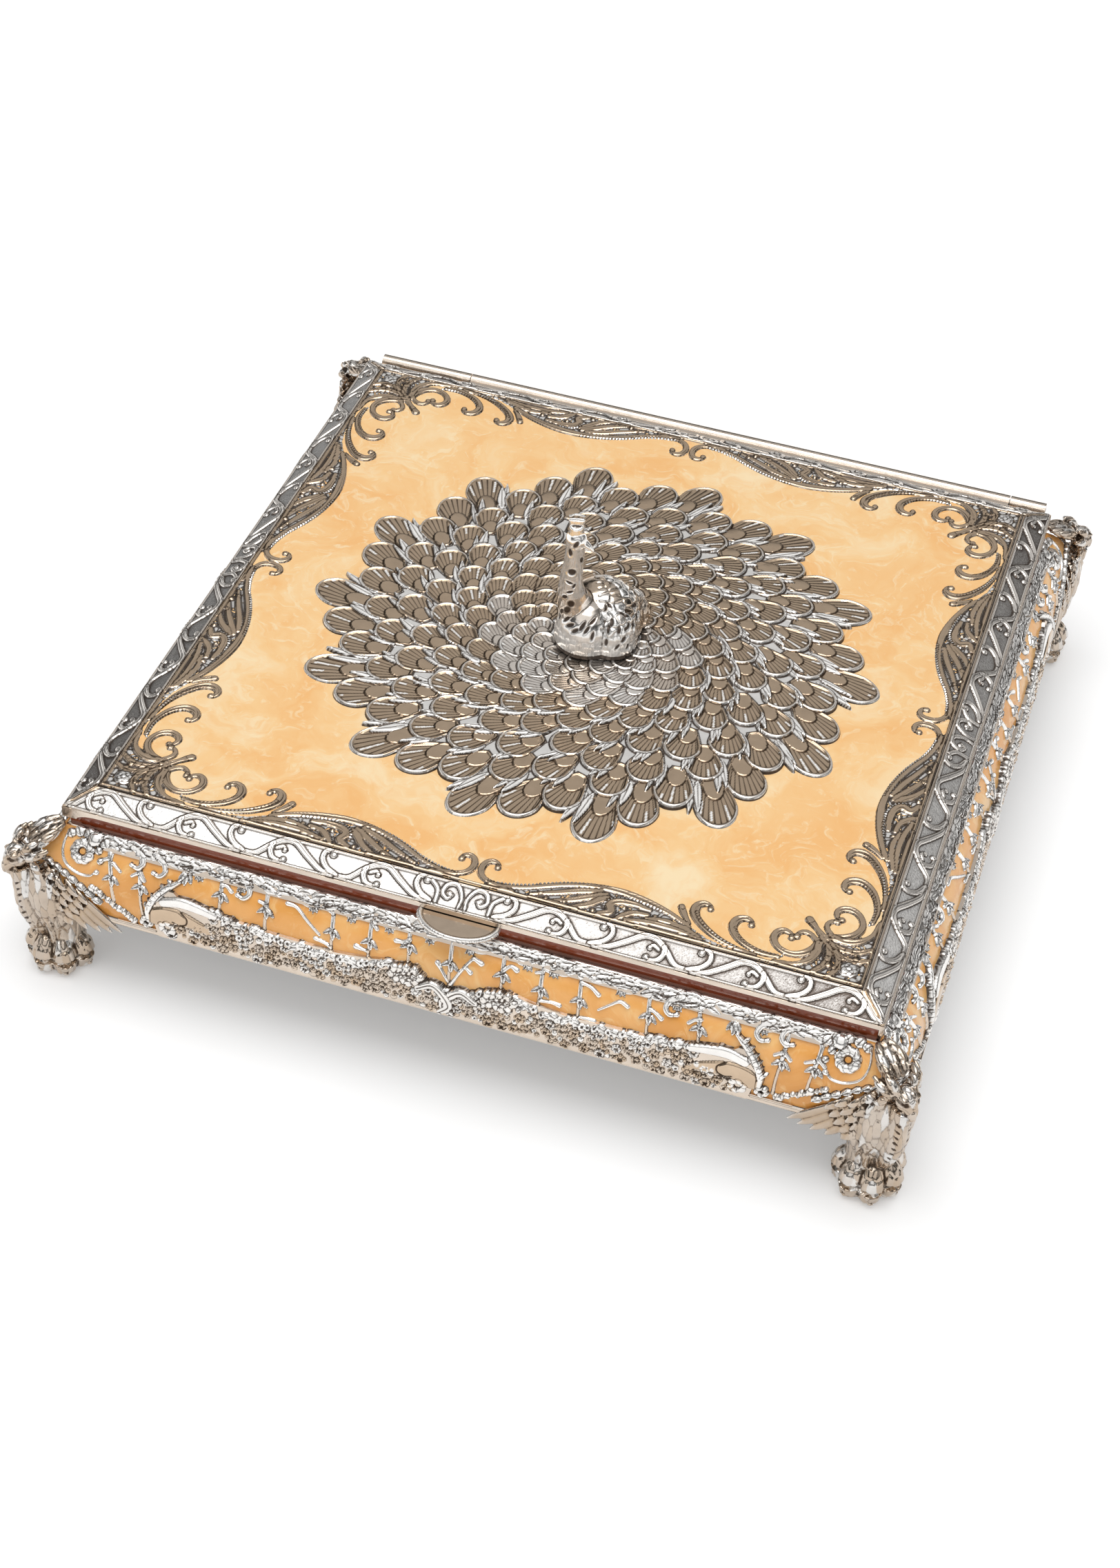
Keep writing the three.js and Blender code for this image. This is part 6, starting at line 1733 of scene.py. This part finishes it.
class BuildLid(bpy.types.Operator):
    """Builds the lid's enamel, border scrolls, friezes and feather medallion"""

    bl_idname = "metal_box.lid"
    bl_label = "Lid ornament"

    def execute(self, context):
        finish, sizes = context.scene.box_finish, context.scene.box_sizes
        metal = cast_metal("cast metal", finish)
        enamel = pearl_enamel("lid enamel", finish.lid_light, finish.lid_middle, finish.lid_deep)
        settle(lid_border(sizes), "lid", "plated_metal", metal, "lid_border")
        settle(enamel_field(), "lid", "lid_enamel", enamel, "lid_enamel")
        settle(feather_medallion(sizes), "lid", "plated_metal", metal, "medallion")
        for side in SIDES:
            settle(frieze(side), "lid", "plated_metal", metal)
        under_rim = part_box("thumb_tab")[1][2] / MM - TAB_RISE
        place = lambda u, v, h: np.stack([u, v - LID_HALF, under_rim + h], 1)
        tab = skin("half_moon_tab", half_moon_tab(), place, recess_gain=0.5, rear_recess=0.2)
        settle(tab, "lid", "plated_metal", metal, "thumb_tab")
        return {"FINISHED"}


class BuildSides(bpy.types.Operator):
    """Builds the sides' enamel skins, stems, garlands and floral bands"""

    bl_idname = "metal_box.sides"
    bl_label = "Side ornament"

    def execute(self, context):
        finish, sizes = context.scene.box_finish, context.scene.box_sizes
        metal = bpy.data.materials["cast metal"]
        enamel = pearl_enamel("side enamel", finish.side_light, finish.side_middle, finish.side_deep)
        for side in SIDES:
            settle(side_enamel(side), "base", "side_enamel", enamel, f"side_enamel_{side}")
            settle(side_relief(side, sizes), "base", "plated_metal", metal)
        return {"FINISHED"}


class BuildFeet(bpy.types.Operator):
    """Builds the four clawed feet with their heads and wings"""

    bl_idname = "metal_box.feet"
    bl_label = "Corner feet"

    def execute(self, context):
        # The feet's metal is a copy of the cast metal darkened by painted shade.
        metal = cast_metal("foot metal", context.scene.box_finish, gleam=0.9, shade=0.22)
        mesh = foot_mesh()
        for corner, angle in CORNERS.items():
            own = mesh.copy()
            own.transform(Matrix.Rotation(angle, 4, "Z"))
            piece = bpy.data.objects.new(f"clawed_foot_{corner}", own)
            context.scene.collection.objects.link(piece)
            settle(piece, "base", "plated_metal", metal, f"foot_{corner}")
        return {"FINISHED"}


class BuildBird(bpy.types.Operator):
    """Builds the crested bird that serves as the knob"""

    bl_idname = "metal_box.bird"
    bl_label = "Bird knob"

    def execute(self, context):
        mesh = bird_mesh()
        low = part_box("bird_knob")[0]
        mesh.transform(Matrix.Translation((0, 0, low[2])) @ Matrix.Rotation(BIRD_TURN, 4, "Z"))
        piece = bpy.data.objects.new("crested_bird", mesh)
        context.scene.collection.objects.link(piece)
        metal = cast_metal("polished metal", context.scene.box_finish, gleam=0.95)
        settle(piece, "lid", "plated_metal", metal, "bird_knob")
        return {"FINISHED"}


class FinishFrame(bpy.types.Operator):
    """Gives the solids that stay in view their metals, lacquer and steel"""

    bl_idname = "metal_box.frame"
    bl_label = "Frame finishes"

    def execute(self, context):
        finish = context.scene.box_finish
        looks = {
            # The plain metal has a share of painted highlight white mixed in.
            "plated_metal": plain_metal("plain metal", finish, bright=0.35),
            "lacquered_wood": lacquered_wood("lacquered wood", finish),
            "steel": plain_steel("steel", finish),
            "lid_enamel": bpy.data.materials["lid enamel"],
            "side_enamel": bpy.data.materials["side enamel"],
        }
        for entry in frame["record"]["subparts"]:
            node = frame["nodes"][entry["node"]]
            node.data.materials.clear()
            node.data.materials.append(looks[entry["material_slot"]])
        return {"FINISHED"}


class BoxPanel(bpy.types.Panel):
    """Shows the box's settings and the buttons of its building steps"""

    bl_idname = "VIEW3D_PT_metal_box"
    bl_label = "Metal box"
    bl_space_type = "VIEW_3D"
    bl_region_type = "UI"
    bl_category = "Metal box"

    def draw(self, context):
        scene = context.scene
        for group in (scene.box_finish, scene.box_sizes, scene.box_stage):
            box = self.layout.box()
            for key in group.__annotations__:
                box.prop(group, key)
        for operator in OPERATORS:
            self.layout.operator(operator.bl_idname)


OPERATORS = (BuildStage, BuildLid, BuildSides, BuildFeet, BuildBird, FinishFrame)
GROUPS = {"box_finish": BoxFinish, "box_sizes": BoxSizes, "box_stage": BoxStage}


def register():
    """Adds the settings, the operators and the panel."""
    for group in GROUPS.values():
        bpy.utils.register_class(group)
    for operator in OPERATORS:
        bpy.utils.register_class(operator)
    bpy.utils.register_class(BoxPanel)
    for key, group in GROUPS.items():
        setattr(bpy.types.Scene, key, bpy.props.PointerProperty(type=group))


def unregister():
    """Removes them again."""
    for key in GROUPS:
        delattr(bpy.types.Scene, key)
    bpy.utils.unregister_class(BoxPanel)
    for operator in reversed(OPERATORS):
        bpy.utils.unregister_class(operator)
    for group in reversed(GROUPS.values()):
        bpy.utils.unregister_class(group)


def main():
    """Builds the whole box."""
    register()
    bpy.ops.metal_box.stage()
    bpy.ops.metal_box.lid()
    bpy.ops.metal_box.sides()
    bpy.ops.metal_box.feet()
    bpy.ops.metal_box.bird()
    bpy.ops.metal_box.frame()


if __name__ == "__main__":
    main()
